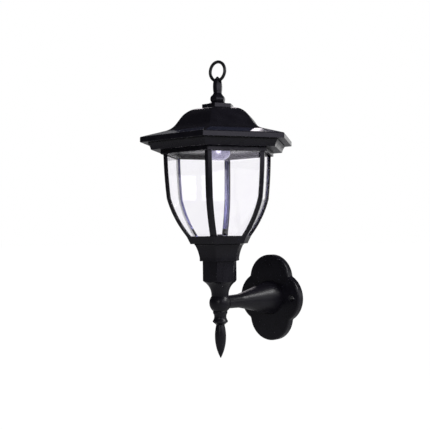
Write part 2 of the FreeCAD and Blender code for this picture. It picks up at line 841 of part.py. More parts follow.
def make_switch_slider():
    x = switch_x - switch_travel / 2
    low = floor_z + 2 * slide_gap + switch_wall
    head = block(slider_head_x, slider_head_y, low, low + slider_head_h, x, switch_y)
    knob = block(slider_knob_x, slider_knob_y, tray_z - slider_out, low, x, switch_y)
    return head.fuse(knob).removeSplitter()


def battery_lead(sign):
    """From a contact's tab, over the battery's end, down onto the board."""
    tab_x = sign * (cradle_half() - contact_wall / 2)
    tab_top = floor_z + cradle_h + tab_h
    pad_x = sign * (board_x / 2 - 2 * post_inset)
    pad_y = board_centre_y - board_y / 2 + post_inset
    high = tab_top + lead_rise
    return tube([Vector(tab_x, cradle_y, tab_top),
                 Vector(tab_x, cradle_y, high),
                 Vector(pad_x, pad_y, high),
                 Vector(pad_x, pad_y, board_top)], lead_r)


def solar_lead(place, pad_x):
    """From under a strip, through the skirt, across to the board's back edge."""
    under = skirt_under_cell()
    low = under - link_drop
    pad_y = board_centre_y + board_y / 2 - 2 * post_inset
    return tube([Vector(place.x, place.y, under),
                 Vector(place.x, place.y, low),
                 Vector(pad_x, pad_y, low + link_drop),
                 Vector(pad_x, pad_y, board_top)], lead_r)


def make_cell_links():
    under = skirt_under_cell()
    low = under - link_drop
    links = []
    for one, two in link_ends():
        links.append(tube([Vector(one.x, one.y, under), Vector(one.x, one.y, low),
                           Vector(two.x, two.y, low), Vector(two.x, two.y, under)], lead_r))
    return Part.Compound(links)


# ---- roof finial and hanging ring -------------------------------------------
def make_roof_finial():
    foot_top = roof_top + finial_foot_h
    slope_top = foot_top + finial_slope_h
    knob_z = slope_top + 0.5 * knob_h
    knob_top = slope_top + knob_h
    body = hex_form((finial_foot_corner, roof_top), [
        (finial_foot_corner, foot_top),
        ((0.52 * finial_foot_corner + 0.48 * finial_slope_corner, foot_top + 0.22 * finial_slope_h),
         (finial_slope_corner, slope_top)),
        (0.8 * knob_corner, slope_top),
        ((knob_corner, knob_z), (0.72 * knob_corner, knob_top)),
        ((0.9 * waist_corner + 0.1 * knob_corner, waist_z - 0.4 * knob_top_h),
         (waist_corner, waist_z)),
        ((bulge_corner, waist_z + 0.48 * bulge_h), (shoulder_corner, shoulder_z)),
        (tip_corner, finial_top)])
    stud = rod_between(0, 0, roof_top - stud_length, roof_top + 1, stud_r)
    return fused([body, stud]).cut(ring_eye())


def ring_eye():
    """Flared hole along X, so that the ring can turn in it."""
    half = bulge_corner + 1
    flare = ring_r - math.sqrt(ring_r ** 2 - half ** 2)
    slim = ring_wire_r + eye_gap
    edges = [Part.Arc(at(half, slim + flare), at(0, slim), at(-half, slim + flare)).toShape(),
             Part.makePolygon([at(-half, slim + flare), at(-half, 0), at(half, 0),
                               at(half, slim + flare)])]
    face = Part.Face(Part.Wire(Part.__sortEdges__(edges[:1] + edges[1].Edges)))
    eye = face.revolve(Vector(0, 0, 0), Vector(1, 0, 0), 360)
    return eye.translated(Vector(0, 0, hinge_z))


def make_hanging_ring():
    return Part.makeTorus(ring_r, ring_wire_r, Vector(0, 0, hinge_z + ring_r), Vector(0, 1, 0))


def make_finial_nut():
    top = roof_top - roof_wall
    return hex_bar(nut_corner, top - nut_h, top).cut(rod_between(0, 0, 0, top + 1, stud_r + 0.05))


# ---- everything -------------------------------------------------------------
def make_parts():
    red_place, black_place = solar_lead_places()
    pad_x = board_x / 2 - 2 * post_inset
    lantern = {
        "arm": make_arm(),
        "arm_screws": make_arm_screws(),
        "ball_hub": make_ball_hub(),
        "drop_finial": make_drop_finial(),
        "tie_rod": make_tie_rod(),
        "lantern_base": make_lantern_base(),
        "cage_frame": make_cage_frame(),
        "cage_top_ring": make_cage_top_ring(),
        "rod_washer": make_rod_washer(),
        "cap_nut": make_cap_nut(),
        "roof_shell": make_roof_shell(),
        "light_tray": make_light_tray(),
        "tray_gasket": make_tray_gasket(),
        "tray_screws": make_tray_screws(),
        "circuit_board": make_circuit_board(),
        "board_screws": make_board_screws(),
        "led": make_led(),
        "led_lens": make_led_lens(),
        "battery": make_battery(),
        "battery_cradle": make_battery_cradle(),
        "battery_contacts": make_battery_contacts(),
        "battery_lead_red": battery_lead(1),
        "battery_lead_black": battery_lead(-1),
        "solar_lead_red": solar_lead(red_place, pad_x),
        "solar_lead_black": solar_lead(black_place, pad_x / 3),
        "cell_links": make_cell_links(),
        "switch_body": make_switch_body(),
        "switch_slider": make_switch_slider(),
        "roof_finial": make_roof_finial(),
        "finial_nut": make_finial_nut(),
        "hanging_ring": make_hanging_ring(),
    }
    for i in range(sides):
        lantern["pane_%d" % (i + 1)] = make_pane(i)
        lantern["solar_strip_%d" % (i + 1)] = make_cell(i, cell_gap, 0, -cell_wall)
    parts = {"wall_plate": make_wall_plate()}
    for name, shape in lantern.items():
        parts[name] = shape.translated(Vector(0, axis_y, 0))
    return parts


def main():
    os.makedirs("parts", exist_ok=True)
    for name, shape in make_parts().items():
        kind = "solids %d" % len(shape.Solids)
        print("%-20s %s valid %s volume %.1f" % (name, kind, shape.isValid(), shape.Volume))
        shape.exportStep("parts/%s.step" % name)


main()
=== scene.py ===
import math

import bmesh
import bpy
from mathutils import Matrix, Vector


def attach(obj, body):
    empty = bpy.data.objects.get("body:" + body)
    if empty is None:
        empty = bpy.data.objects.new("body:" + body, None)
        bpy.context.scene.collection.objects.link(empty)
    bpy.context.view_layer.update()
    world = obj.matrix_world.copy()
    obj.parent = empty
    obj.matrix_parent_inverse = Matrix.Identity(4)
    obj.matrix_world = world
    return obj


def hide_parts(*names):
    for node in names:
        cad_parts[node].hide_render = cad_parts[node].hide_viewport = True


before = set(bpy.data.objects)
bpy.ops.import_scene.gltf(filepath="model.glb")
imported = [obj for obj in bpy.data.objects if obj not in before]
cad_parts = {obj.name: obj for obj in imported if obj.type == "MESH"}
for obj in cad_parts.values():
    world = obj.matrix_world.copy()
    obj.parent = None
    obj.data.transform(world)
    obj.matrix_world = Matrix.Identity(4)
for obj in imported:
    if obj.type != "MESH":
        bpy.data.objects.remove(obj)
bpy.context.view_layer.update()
mm = 0.001
lanternAxis = Vector((0, -0.099, 0))     # the lantern stands on this upright line
sideFactor = math.cos(math.radians(30))  # centre to flat, over centre to corner
print("frame loaded")


# outlines are drawn in mm, as (out from the axis, up)
def arcPoints(start, middle, end, cuts):
    (ax, az), (mx, mz), (bx, bz) = start, middle, end
    d = 2 * (ax * (mz - bz) + mx * (bz - az) + bx * (az - mz))
    a2, m2, b2 = ax * ax + az * az, mx * mx + mz * mz, bx * bx + bz * bz
    cx = (a2 * (mz - bz) + m2 * (bz - az) + b2 * (az - mz)) / d
    cz = (a2 * (bx - mx) + m2 * (ax - bx) + b2 * (mx - ax)) / d
    radius = math.hypot(ax - cx, az - cz)
    first = math.atan2(az - cz, ax - cx)
    toMiddle = (math.atan2(mz - cz, mx - cx) - first) % (2 * math.pi)
    toEnd = (math.atan2(bz - cz, bx - cx) - first) % (2 * math.pi)
    if toMiddle > toEnd:
        toEnd -= 2 * math.pi
    return [(cx + radius * math.cos(first + toEnd * i / cuts),
             cz + radius * math.sin(first + toEnd * i / cuts)) for i in range(1, cuts + 1)]


def outline(start, steps, cuts=10):
    points = [start]
    for step in steps:
        if isinstance(step[0], tuple):
            points += arcPoints(points[-1], step[0], step[1], cuts)
        else:
            points.append(step)
    return points


def insetOutline(points, depth):
    # moves an open outline to its left by depth, corners kept sharp
    moved = []
    for i, (x, z) in enumerate(points):
        sides = []
        for a, b in ((i - 1, i), (i, i + 1)):
            if a >= 0 and b < len(points):
                run = Vector((points[b][0] - points[a][0], points[b][1] - points[a][1]))
                sides.append(Vector((-run.y, run.x)).normalized())
        normal = (sides[0] + sides[-1]).normalized()
        reach = depth / normal.dot(sides[0])
        moved.append((x + normal.x * reach, z + normal.y * reach))
    return moved


def sixOutline(start, steps, cuts=10, inset=0):
    # given centre to corner; the arcs are true on the flats, as on the real sides
    def slim(p):
        return (p[0] * sideFactor, p[1])
    slimSteps = [(slim(s[0]), slim(s[1])) if isinstance(s[0], tuple) else slim(s) for s in steps]
    points = outline(slim(start), slimSteps, cuts)
    if inset:
        points = insetOutline(points, inset)
    return [(x / sideFactor, z) for x, z in points]


def turnPiece(bm, degrees, axis="Z", centre=lanternAxis):
    bmesh.ops.rotate(bm, verts=bm.verts, cent=centre,
                     matrix=Matrix.Rotation(math.radians(degrees), 3, axis))


def weld(bm, dist=1e-6):
    bmesh.ops.remove_doubles(bm, verts=bm.verts, dist=dist)
    bmesh.ops.recalc_face_normals(bm, faces=bm.faces)


def spinOutline(points, turns, first=0, sweep=360, closed=False):
    # spun about the lantern's axis; few turns give a many-sided piece
    bm = bmesh.new()
    verts = [bm.verts.new((x * mm, 0, z * mm)) for x, z in points]
    edges = [bm.edges.new(pair) for pair in zip(verts, verts[1:])]
    if closed:
        edges.append(bm.edges.new((verts[-1], verts[0])))
    turnPiece(bm, first, centre=(0, 0, 0))
    bmesh.ops.spin(bm, geom=verts + edges, cent=(0, 0, 0), axis=(0, 0, 1), dvec=(0, 0, 0),
                   angle=math.radians(sweep), steps=turns, use_merge=sweep == 360,
                   use_normal_flip=False, use_duplicate=False)
    weld(bm)
    bmesh.ops.translate(bm, vec=lanternAxis, verts=bm.verts)
    return bm


def layAlongArm(bm):
    # a shape spun about the upright axis is laid along +Y, through the ball
    turnPiece(bm, -90, "X")


def cutPiece(bm, point, normal, fill=True):
    # drops what is on the normal's side
    geom = bm.verts[:] + bm.edges[:] + bm.faces[:]
    cut = bmesh.ops.bisect_plane(bm, geom=geom, dist=1e-7, plane_co=point, plane_no=normal,
                                 clear_outer=True, clear_inner=False)
    if fill:
        rim = [e for e in cut["geom_cut"] if isinstance(e, bmesh.types.BMEdge)]
        bmesh.ops.edgenet_fill(bm, edges=rim)
        bmesh.ops.recalc_face_normals(bm, faces=bm.faces)


def joinFlats(bm, angle=0.4):
    bmesh.ops.dissolve_limit(bm, angle_limit=math.radians(angle), verts=bm.verts,
                             edges=bm.edges, use_dissolve_boundaries=False)


def addInto(bm, other):
    mesh = bpy.data.meshes.new("spare")
    other.to_mesh(mesh)
    other.free()
    bm.from_mesh(mesh)
    bpy.data.meshes.remove(mesh)


def placePiece(name, bm, finish, body, stands, edge=0.4, edgeAngle=28, rounds=3):
    mesh = bpy.data.meshes.new(name)
    bm.to_mesh(mesh)
    bm.free()
    mesh.shade_smooth()
    mesh.set_sharp_from_angle(angle=math.radians(edgeAngle))
    mesh.materials.append(finish)
    piece = bpy.data.objects.new(name, mesh)
    bpy.context.collection.objects.link(piece)
    if edge:
        soft = piece.modifiers.new("softEdges", "BEVEL")
        soft.limit_method = "ANGLE"
        soft.angle_limit = math.radians(edgeAngle)
        soft.width = edge * mm
        soft.segments = rounds
        soft.harden_normals = True
    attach(piece, body)
    if stands:
        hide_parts(*stands)
    return piece


def cutAway(piece, cutter):
    # the cutter is a bmesh; the cut is applied at once, before the piece's other modifiers
    mesh = bpy.data.meshes.new("cutter")
    cutter.to_mesh(mesh)
    cutter.free()
    tool = bpy.data.objects.new("cutter", mesh)
    bpy.context.collection.objects.link(tool)
    hole = piece.modifiers.new("hole", "BOOLEAN")
    hole.operation = "DIFFERENCE"
    hole.solver = "EXACT"
    hole.use_self = True
    hole.object = tool
    others = [m for m in piece.modifiers if m != hole]
    for m in others:
        m.show_viewport = False
    bpy.context.view_layer.update()
    shaped = bpy.data.meshes.new_from_object(
        piece.evaluated_get(bpy.context.evaluated_depsgraph_get()))
    for m in others:
        m.show_viewport = True
    shaped.set_sharp_from_angle(angle=math.radians(28))
    piece.modifiers.remove(hole)
    old = piece.data
    piece.data = shaped
    shaped.name = piece.name
    bpy.data.meshes.remove(old)
    bpy.data.objects.remove(tool)
    bpy.data.meshes.remove(mesh)


# the view of the photograph
cameraSetup = {"turn": 39.8, "distance": 0.913, "height": 0.0766, "lens": 69.5,
               "roll": 0.66, "aimUp": 0.0199, "aimLeft": 0.0045}


def makeCamera():
    s = cameraSetup
    turn = math.radians(s["turn"])
    outward = Vector((math.sin(turn), -math.cos(turn), 0))
    right = Vector((math.cos(turn), math.sin(turn), 0))
    spot = lanternAxis + outward * s["distance"] + Vector((0, 0, s["height"]))
    target = lanternAxis + Vector((0, 0, s["height"] + s["aimUp"])) - right * s["aimLeft"]
    data = bpy.data.cameras.new("photoView")
    data.lens = s["lens"]
    data.sensor_width = 36
    data.clip_start, data.clip_end = 0.02, 30
    camera = bpy.data.objects.new("photoView", data)
    bpy.context.collection.objects.link(camera)
    look = (target - spot).to_track_quat("-Z", "Y").to_matrix().to_4x4()
    roll = Matrix.Rotation(math.radians(-s["roll"]), 4, "Z")
    camera.matrix_world = Matrix.Translation(spot) @ look @ roll
    bpy.context.scene.camera = camera


makeCamera()
print("camera set")


# finishes: small helpers, then shared effects as groups
def addNode(tree, kind, links=None, **values):
    node = tree.nodes.new(kind)
    for key, value in values.items():
        setattr(node, key, value)
    for key, value in (links or {}).items():
        socket = node.inputs[key]
        if isinstance(value, bpy.types.NodeSocket):
            tree.links.new(value, socket)
        else:
            socket.default_value = value
    return node


def addMath(tree, operation, *values, **more):
    return addNode(tree, "ShaderNodeMath", dict(enumerate(values)), operation=operation, **more).outputs[0]


def addNoise(tree, place, scale, detail=2.0, **more):
    return addNode(tree, "ShaderNodeTexNoise",
                   {"Vector": place, "Scale": scale, "Detail": detail, **more}).outputs[0]


def addRange(tree, value, toLow=0.0, toHigh=1.0, fromLow=0.0, fromHigh=1.0):
    return addNode(tree, "ShaderNodeMapRange", {
        "Value": value, "From Min": fromLow, "From Max": fromHigh, "To Min": toLow,
        "To Max": toHigh}).outputs[0]


def addBump(tree, body, height, strength, distance):
    dents = addNode(tree, "ShaderNodeBump", {"Height": height, "Strength": strength, "Distance": distance})
    tree.links.new(dents.outputs[0], body.inputs["Normal"])


def mixShader(tree, share, first, second):
    return addNode(tree, "ShaderNodeMixShader", {0: share, 1: first, 2: second}).outputs[0]


def mixTone(tree, mask, low, high):
    mix = tree.nodes.new("ShaderNodeMix")
    mix.data_type = "RGBA"
    tree.links.new(mask, mix.inputs["Factor"])
    for socket, tone in ((mix.inputs[6], low), (mix.inputs[7], high)):
        if isinstance(tone, bpy.types.NodeSocket):
            tree.links.new(tone, socket)
        else:
            socket.default_value = (*tone, 1)
    return mix.outputs[2]


def newGroup(name, numbers, outs):
    # takes a Vector and named numbers, gives named numbers
    group = bpy.data.node_groups.new(name, "ShaderNodeTree")
    group.interface.new_socket(name="Vector", in_out="INPUT", socket_type="NodeSocketVector")
    for socketName, value in numbers.items():
        made = group.interface.new_socket(name=socketName, in_out="INPUT", socket_type="NodeSocketFloat")
        made.default_value = value
    for socketName in outs:
        group.interface.new_socket(name=socketName, in_out="OUTPUT", socket_type="NodeSocketFloat")
    inside = group.nodes.new("NodeGroupInput")
    outside = group.nodes.new("NodeGroupOutput")
    return group, inside.outputs, outside.inputs


def useGroup(tree, group, links):
    node = tree.nodes.new("ShaderNodeGroup")
    node.node_tree = group
    for key, value in links.items():
        if isinstance(value, bpy.types.NodeSocket):
            tree.links.new(value, node.inputs[key])
        else:
            node.inputs[key].default_value = value
    return node.outputs


def makeGrainGroup():
    # fine moulded grain over slow waves; Height for bump, Patch for gloss and tone
    group, ins, outs = newGroup("mouldedGrain", {"Grain": 900.0, "Wave": 38.0, "Wave Depth": 0.5},
                                ["Height", "Patch"])
    grain = addNoise(group, ins["Vector"], ins["Grain"], 3.0, Roughness=0.6)
    wave = addNoise(group, ins["Vector"], ins["Wave"], 2.0, Roughness=0.45)
    patch = addNoise(group, ins["Vector"], 70.0, 4.0, Roughness=0.65, Distortion=0.4)
    deep = addMath(group, "MULTIPLY", wave, ins["Wave Depth"])
    fine = addMath(group, "MULTIPLY", grain, 0.12)
    group.links.new(addMath(group, "ADD", deep, fine), outs["Height"])
    group.links.new(addRange(group, patch, fromLow=0.32, fromHigh=0.7), outs["Patch"])
    return group


def makeRubGroup():
    # where handling has polished the edges, broken up by a coarse noise
    group, ins, outs = newGroup("edgeRub", {"Width": 0.0008}, ["Mask"])
    rounded = addNode(group, "ShaderNodeBevel", {"Radius": ins["Width"]}, samples=4)
    flatFace = addNode(group, "ShaderNodeNewGeometry")
    same = addNode(group, "ShaderNodeVectorMath", {0: rounded.outputs[0], 1: flatFace.outputs["Normal"]},
                   operation="DOT_PRODUCT")
    edge = addRange(group, same.outputs["Value"], fromLow=0.995, fromHigh=0.88)
    some = addRange(group, addNoise(group, ins["Vector"], 160.0, 3.0), fromLow=0.38, fromHigh=0.62)
    group.links.new(addMath(group, "MULTIPLY", edge, some), outs["Mask"])
    return group


def makeDustGroup():
    # a thin film of dust, thicker on faces that look up
    group, ins, outs = newGroup("settledDust", {"Amount": 0.1}, ["Mask"])
    facing = addNode(group, "ShaderNodeNewGeometry")
    parts = addNode(group, "ShaderNodeSeparateXYZ", {0: facing.outputs["Normal"]})
    up = addRange(group, parts.outputs["Z"], fromLow=-0.1)
    cloud = addRange(group, addNoise(group, ins["Vector"], 45.0, 6.0, Roughness=0.7),
                     fromLow=0.35, fromHigh=0.75)
    specks = addRange(group, addNoise(group, ins["Vector"], 1400.0, 1.0), fromLow=0.6, fromHigh=0.72)
    lying = addMath(group, "MULTIPLY", addMath(group, "ADD", cloud, specks), up)
    group.links.new(addMath(group, "MULTIPLY", lying, ins["Amount"], use_clamp=True), outs["Mask"])
    return group


mouldedGrain = makeGrainGroup()
edgeRub = makeRubGroup()
settledDust = makeDustGroup()


def newFinish(name, **shader):
    finish = bpy.data.materials.new(name)
    finish.use_nodes = True
    tree = finish.node_tree
    tree.nodes.clear()
    body = addNode(tree, "ShaderNodeBsdfPrincipled")
    for key, value in shader.items():
        body.inputs[key].default_value = value
    addNode(tree, "ShaderNodeOutputMaterial", {"Surface": body.outputs[0]})
    place = addNode(tree, "ShaderNodeTexCoord").outputs["Object"]
    return finish, tree, body, place


def setSurface(tree, shader):
    out = next(n for n in tree.nodes if n.type == "OUTPUT_MATERIAL")
    tree.links.new(shader, out.inputs["Surface"])


def makeBlackPlastic(name, tone=0.0045, tint=(1, 0.9, 1.45), gloss=(0.22, 0.32), wave=38.0,
                     waveDepth=0.5, bump=0.00004, dust=0.015, rub=0.0007):
    # injection-moulded black plastic: fine grain, uneven gloss, rubbed edges, a breath of dust
    finish, tree, body, place = newFinish(name, **{"Specular IOR Level": 0.27})
    grain = useGroup(tree, mouldedGrain, {"Vector": place, "Grain": 2200.0, "Wave": wave,
                                          "Wave Depth": waveDepth})
    rubbed = useGroup(tree, edgeRub, {"Vector": place, "Width": rub})["Mask"]
    dusty = useGroup(tree, settledDust, {"Vector": place, "Amount": dust})["Mask"]
    dark = [tone * t for t in tint]
    base = mixTone(tree, grain["Patch"], dark, [t * 1.7 for t in dark])
    worn = mixTone(tree, rubbed, base, (tone * 2.6, tone * 2.5, tone * 3.1))
    tree.links.new(mixTone(tree, dusty, worn, (0.16, 0.15, 0.14)), body.inputs["Base Color"])
    uneven = addRange(tree, grain["Patch"], *gloss)
    tree.links.new(addMath(tree, "MULTIPLY_ADD", rubbed, -0.08, uneven), body.inputs["Roughness"])
    addBump(tree, body, grain["Height"], 1.0, bump)
    return finish


lanternBlack = makeBlackPlastic("lanternBlack")
roofBlack = makeBlackPlastic("roofBlack", gloss=(0.2, 0.3), wave=30.0, waveDepth=0.7, dust=0.02)
turnedBlack = makeBlackPlastic("turnedBlack", gloss=(0.3, 0.36), wave=55.0, waveDepth=0.3, bump=0.00001,
                               dust=0.01)
plateBlack = makeBlackPlastic("plateBlack", gloss=(0.24, 0.34), wave=34.0, waveDepth=0.6, dust=0.01)
ceilingBlack = makeBlackPlastic("ceilingBlack", tone=0.006, gloss=(0.24, 0.34), dust=0.0)
# painted light: the ribs' inner faces get a light violet colour that stands in for the light they catch
# through the moulded panes
ribInnerPaintedLight = makeBlackPlastic("ribInnerPaintedLight", tone=0.13, tint=(1, 0.98, 2.0), dust=0.0, rub=0.0002)


def makeClearPane():
    # clear moulded sheet with a faint violet cast, slow ripples and fine haze
    finish, tree, body, place = newFinish("clearPane", **{
        "IOR": 1.35, "Transmission Weight": 1.0, "Metallic": 0.0})
    ripple = useGroup(tree, mouldedGrain, {"Vector": place, "Grain": 240.0, "Wave": 22.0, "Wave Depth": 1.0})
    tone = mixTone(tree, ripple["Patch"], (0.99, 0.985, 1.0), (0.975, 0.965, 0.992))
    tree.links.new(tone, body.inputs["Base Color"])
    tree.links.new(addRange(tree, ripple["Patch"], 0.0, 0.02), body.inputs["Roughness"])
    addBump(tree, body, ripple["Height"], 0.5, 0.00002)
    # light for the inside passes straight through
    path = addNode(tree, "ShaderNodeLightPath")
    clear = addNode(tree, "ShaderNodeBsdfTransparent", {"Color": (0.98, 0.98, 0.98, 1)})
    setSurface(tree, mixShader(tree, path.outputs["Is Shadow Ray"], body.outputs[0], clear.outputs[0]))
    return finish


def makeLensGlow():
    # frosted violet-tinted lens that shows the diode inside as a soft white spot
    finish, tree, body, place = newFinish("lensGlow", **{
        "Base Color": (0.4, 0.38, 0.48, 1), "IOR": 1.4, "Transmission Weight": 0.8, "Metallic": 0.0,
        "Emission Strength": 1.0})
    cloud = addNoise(tree, place, 260.0, 3.0)
    tree.links.new(addRange(tree, cloud, 0.22, 0.34), body.inputs["Roughness"])
    glow = mixTone(tree, cloud, (0.05, 0.047, 0.073), (0.09, 0.086, 0.12))
    tree.links.new(glow, body.inputs["Emission Color"])
    return finish


def makeSolarStrip():
    # dark blue cells under a clear coat, split by thin gaps and bus lines, laid out in the strip's UV
    finish, tree, body, place = newFinish("solarStrip", **{
        "Coat Roughness": 0.06, "Specular IOR Level": 0.5, "Roughness": 0.3})
    uv = addNode(tree, "ShaderNodeUVMap", uv_map="stripMap").outputs[0]
    cells = addNode(tree, "ShaderNodeTexBrick", {
        "Vector": uv, "Color1": (0.006, 0.008, 0.022, 1), "Color2": (0.009, 0.011, 0.03, 1),
        "Mortar": (0.05, 0.05, 0.055, 1), "Scale": 1.0, "Mortar Size": 0.012, "Brick Width": 0.5,
        "Row Height": 1.0}, offset=0.0)
    lines = addNode(tree, "ShaderNodeTexWave", {"Vector": uv, "Scale": 6.0}, bands_direction="Y")
    thin = addRange(tree, lines.outputs["Fac"], fromLow=0.985)
    crystal = addNode(tree, "ShaderNodeTexVoronoi", {"Vector": place, "Scale": 420.0})
    flakes = mixTone(tree, crystal.outputs["Distance"], cells.outputs["Color"], (0.012, 0.016, 0.045))
    tree.links.new(mixTone(tree, thin, flakes, (0.12, 0.12, 0.13)), body.inputs["Base Color"])
    coat = addRange(tree, addNoise(tree, place, 90.0, 4.0), 0.75, 1.0)
    tree.links.new(coat, body.inputs["Coat Weight"])
    return finish


def makeMetal(name, low, high, rough=(0.22, 0.4), stretch=(1, 1, 14), metallic=1.0):
    # drawn metal: fine scratches stretched one way over a patchy tone
    finish, tree, body, place = newFinish(name, Metallic=metallic)
    drawn = addNode(tree, "ShaderNodeMapping", {"Vector": place, "Scale": stretch}).outputs[0]
    lines = addNoise(tree, drawn, 300.0, 3.0)
    patch = useGroup(tree, mouldedGrain, {"Vector": place, "Grain": 700.0, "Wave": 60.0, "Wave Depth": 0.4})
    tree.links.new(mixTone(tree, patch["Patch"], low, high), body.inputs["Base Color"])
    tree.links.new(addRange(tree, lines, *rough, fromLow=0.3, fromHigh=0.7), body.inputs["Roughness"])
    addBump(tree, body, lines, 0.3, 0.00002)
    return finish


def makeCover(name, low, high, rough=(0.35, 0.55)):
    # coloured rubber or plastic skin with soft mottling
    finish, tree, body, place = newFinish(name)
    skin = useGroup(tree, mouldedGrain, {"Vector": place, "Grain": 700.0, "Wave": 60.0, "Wave Depth": 0.3})
    tree.links.new(mixTone(tree, skin["Patch"], low, high), body.inputs["Base Color"])
    tree.links.new(addRange(tree, skin["Patch"], *rough), body.inputs["Roughness"])
    addBump(tree, body, skin["Height"], 0.8, 0.00004)
    return finish


clearPane = makeClearPane()
lensGlow = makeLensGlow()
solarStrip = makeSolarStrip()
screwSteel = makeMetal("screwSteel", (0.5, 0.5, 0.5), (0.66, 0.65, 0.63))
contactMetal = makeMetal("contactMetal", (0.62, 0.6, 0.56), (0.78, 0.76, 0.7), stretch=(1, 14, 1))
ringMetal = makeMetal("ringMetal", (0.012, 0.012, 0.013), (0.03, 0.03, 0.032), rough=(0.2, 0.34),
                      metallic=0.35)
gasketRubber = makeCover("gasketRubber", (0.03, 0.03, 0.03), (0.045, 0.045, 0.045), rough=(0.6, 0.8))
switchPlastic = makeCover("switchPlastic", (0.02, 0.02, 0.022), (0.04, 0.04, 0.042))
switchKnob = makeCover("switchKnob", (0.5, 0.5, 0.48), (0.6, 0.6, 0.58))
leadRed = makeCover("leadRed", (0.42, 0.02, 0.015), (0.55, 0.035, 0.025), rough=(0.3, 0.45))
leadBlack = makeCover("leadBlack", (0.012, 0.012, 0.013), (0.025, 0.025, 0.026), rough=(0.3, 0.45))
print("finishes made")


# wall plate: four lobes, drawn as arcs, mirrored, then drawn out and rounded
plate = {"sideOut": 13.7, "sideR": 28.8, "endOut": 22.4, "endR": 28.1, "depth": 9.0,
         "notchRound": 3.0, "frontRound": 2.2, "holeOut": 32.0, "holeR": 2.75, "sinkR": 4.2,
         "wall": 2.6, "draft": 0.3, "padR": 15.0, "padTop": -3.4, "bossR": 5.6}


def makeWallPlate():
    p = plate
    # the fillet in each notch touches a side lobe and an end lobe
    side, end = Vector((p["sideOut"], 0, 0)), Vector((0, 0, p["endOut"]))
    toSide, toEnd = p["sideR"] + p["notchRound"], p["endR"] + p["notchRound"]
    span = (end - side).length
    along = (toSide ** 2 - toEnd ** 2 + span ** 2) / (2 * span)
    off = math.sqrt(toSide ** 2 - along ** 2)
    line = (end - side).normalized()
    notch = side + line * along + Vector((line.z, 0, -line.x)) * off
    onSide = side + (notch - side) * p["sideR"] / toSide
    onEnd = end + (notch - end) * p["endR"] / toEnd
    bm = bmesh.new()
    arcs = ((side, Vector((p["sideOut"] + p["sideR"], 0, 0)), onSide, 20, -1), (notch, onSide, onEnd, 8, 1),
            (end, onEnd, Vector((0, 0, p["endOut"] + p["endR"])), 20, -1))
    for centre, begin, finish, steps, way in arcs:
        seed = bm.verts.new(begin)
        bmesh.ops.spin(bm, geom=[seed], cent=centre, axis=(0, way, 0), dvec=(0, 0, 0),
                       angle=(begin - centre).angle(finish - centre), steps=steps, use_merge=False,
                       use_normal_flip=False, use_duplicate=False)
    for axis in ("X", "Z"):
        bmesh.ops.mirror(bm, geom=bm.verts[:] + bm.edges[:], matrix=Matrix.Identity(4),
                         merge_dist=0.01, axis=axis)
    bmesh.ops.remove_doubles(bm, verts=bm.verts, dist=0.02)
    bmesh.ops.contextual_create(bm, geom=bm.edges[:])
    up = bmesh.ops.extrude_face_region(bm, geom=bm.faces[:])
    front = [f for f in up["geom"] if isinstance(f, bmesh.types.BMFace)][0]
    bmesh.ops.translate(bm, vec=(0, -p["depth"], 0), verts=front.verts[:])
    bmesh.ops.recalc_face_normals(bm, faces=bm.faces)
    bmesh.ops.bevel(bm, geom=front.edges[:], offset=p["frontRound"], offset_type="OFFSET", segments=7,
                    profile=0.5, affect="EDGES", material=-1, clamp_overlap=True)
    back = [f for f in bm.faces if f.normal.y > 0.9][0]
    bmesh.ops.inset_region(bm, faces=[back], thickness=p["wall"], depth=0, use_even_offset=True)
    bmesh.ops.inset_region(bm, faces=[back], thickness=p["draft"], depth=p["wall"] - p["depth"],
                           use_even_offset=True)
    bmesh.ops.scale(bm, vec=(mm, mm, mm), verts=bm.verts)
    # pad behind the arm and a boss round each hole, seen only from behind
    bars = [(0, p["padR"], p["padTop"])] + [(s * p["holeOut"], p["bossR"], 0) for s in (-1, 1)]
    for x, r, top in bars:
        low = p["wall"] - p["depth"] - 0.2
        bar = spinOutline([(0, low), (r, low), (r, top), (0, top)], 48)
        layAlongArm(bar)
        bmesh.ops.translate(bar, verts=bar.verts, vec=-lanternAxis + Vector((x * mm, 0, 0)))
        addInto(bm, bar)
    return placePiece("wallPlate", bm, plateBlack, "bracket", ["wall_plate"], edge=0.25)


def drillHole(piece, x):
    p = plate
    sink = p["sinkR"] - p["holeR"]
    drill = spinOutline([(0, -1), (p["sinkR"] + 1, -1), (p["holeR"], sink), (p["holeR"], 12), (0, 12)], 40)
    layAlongArm(drill)
    bmesh.ops.translate(drill, verts=drill.verts,
                        vec=-lanternAxis + Vector((x * mm, -p["depth"] * mm, 0)))
    cutAway(piece, drill)


wallPlate = makeWallPlate()
for side in (-1, 1):
    drillHole(wallPlate, side * plate["holeOut"])
print("wall plate made")

# arm: straight stem that flares like a trumpet onto the plate; sizes as (radius, along)
arm = {"tipR": 7.1, "tip": 9.55, "stemR": 7.7, "stem": 32.55, "midR": 13.5, "footR": 20.0, "foot": 90.0}


def makeArm():
    a = arm
    middle = (a["stem"] + a["foot"]) / 2
    points = outline((0, a["tip"]), [(a["tipR"] - 0.5, a["tip"]), (a["tipR"], a["tip"] + 0.5),
                                     (a["stemR"], a["stem"]),
                                     ((a["midR"], middle), (a["footR"], a["foot"])), (0, a["foot"])], cuts=36)
    bm = spinOutline(points, 72)
    layAlongArm(bm)
    placePiece("trumpetArm", bm, turnedBlack, "bracket", ["arm"], edge=0)


makeArm()

# ball and drop finial: turned pieces on the lantern's axis
ball = {"r": 11.9, "top": 7.4, "foot": 8.4, "seat": 9.55}
drop = {"collarR": 7.9, "waistR": 6.7, "flangeR": 8.4, "neckR": 4.6, "bulletR": 6.15,
        "topH": 15.6, "bulletH": 36.0}


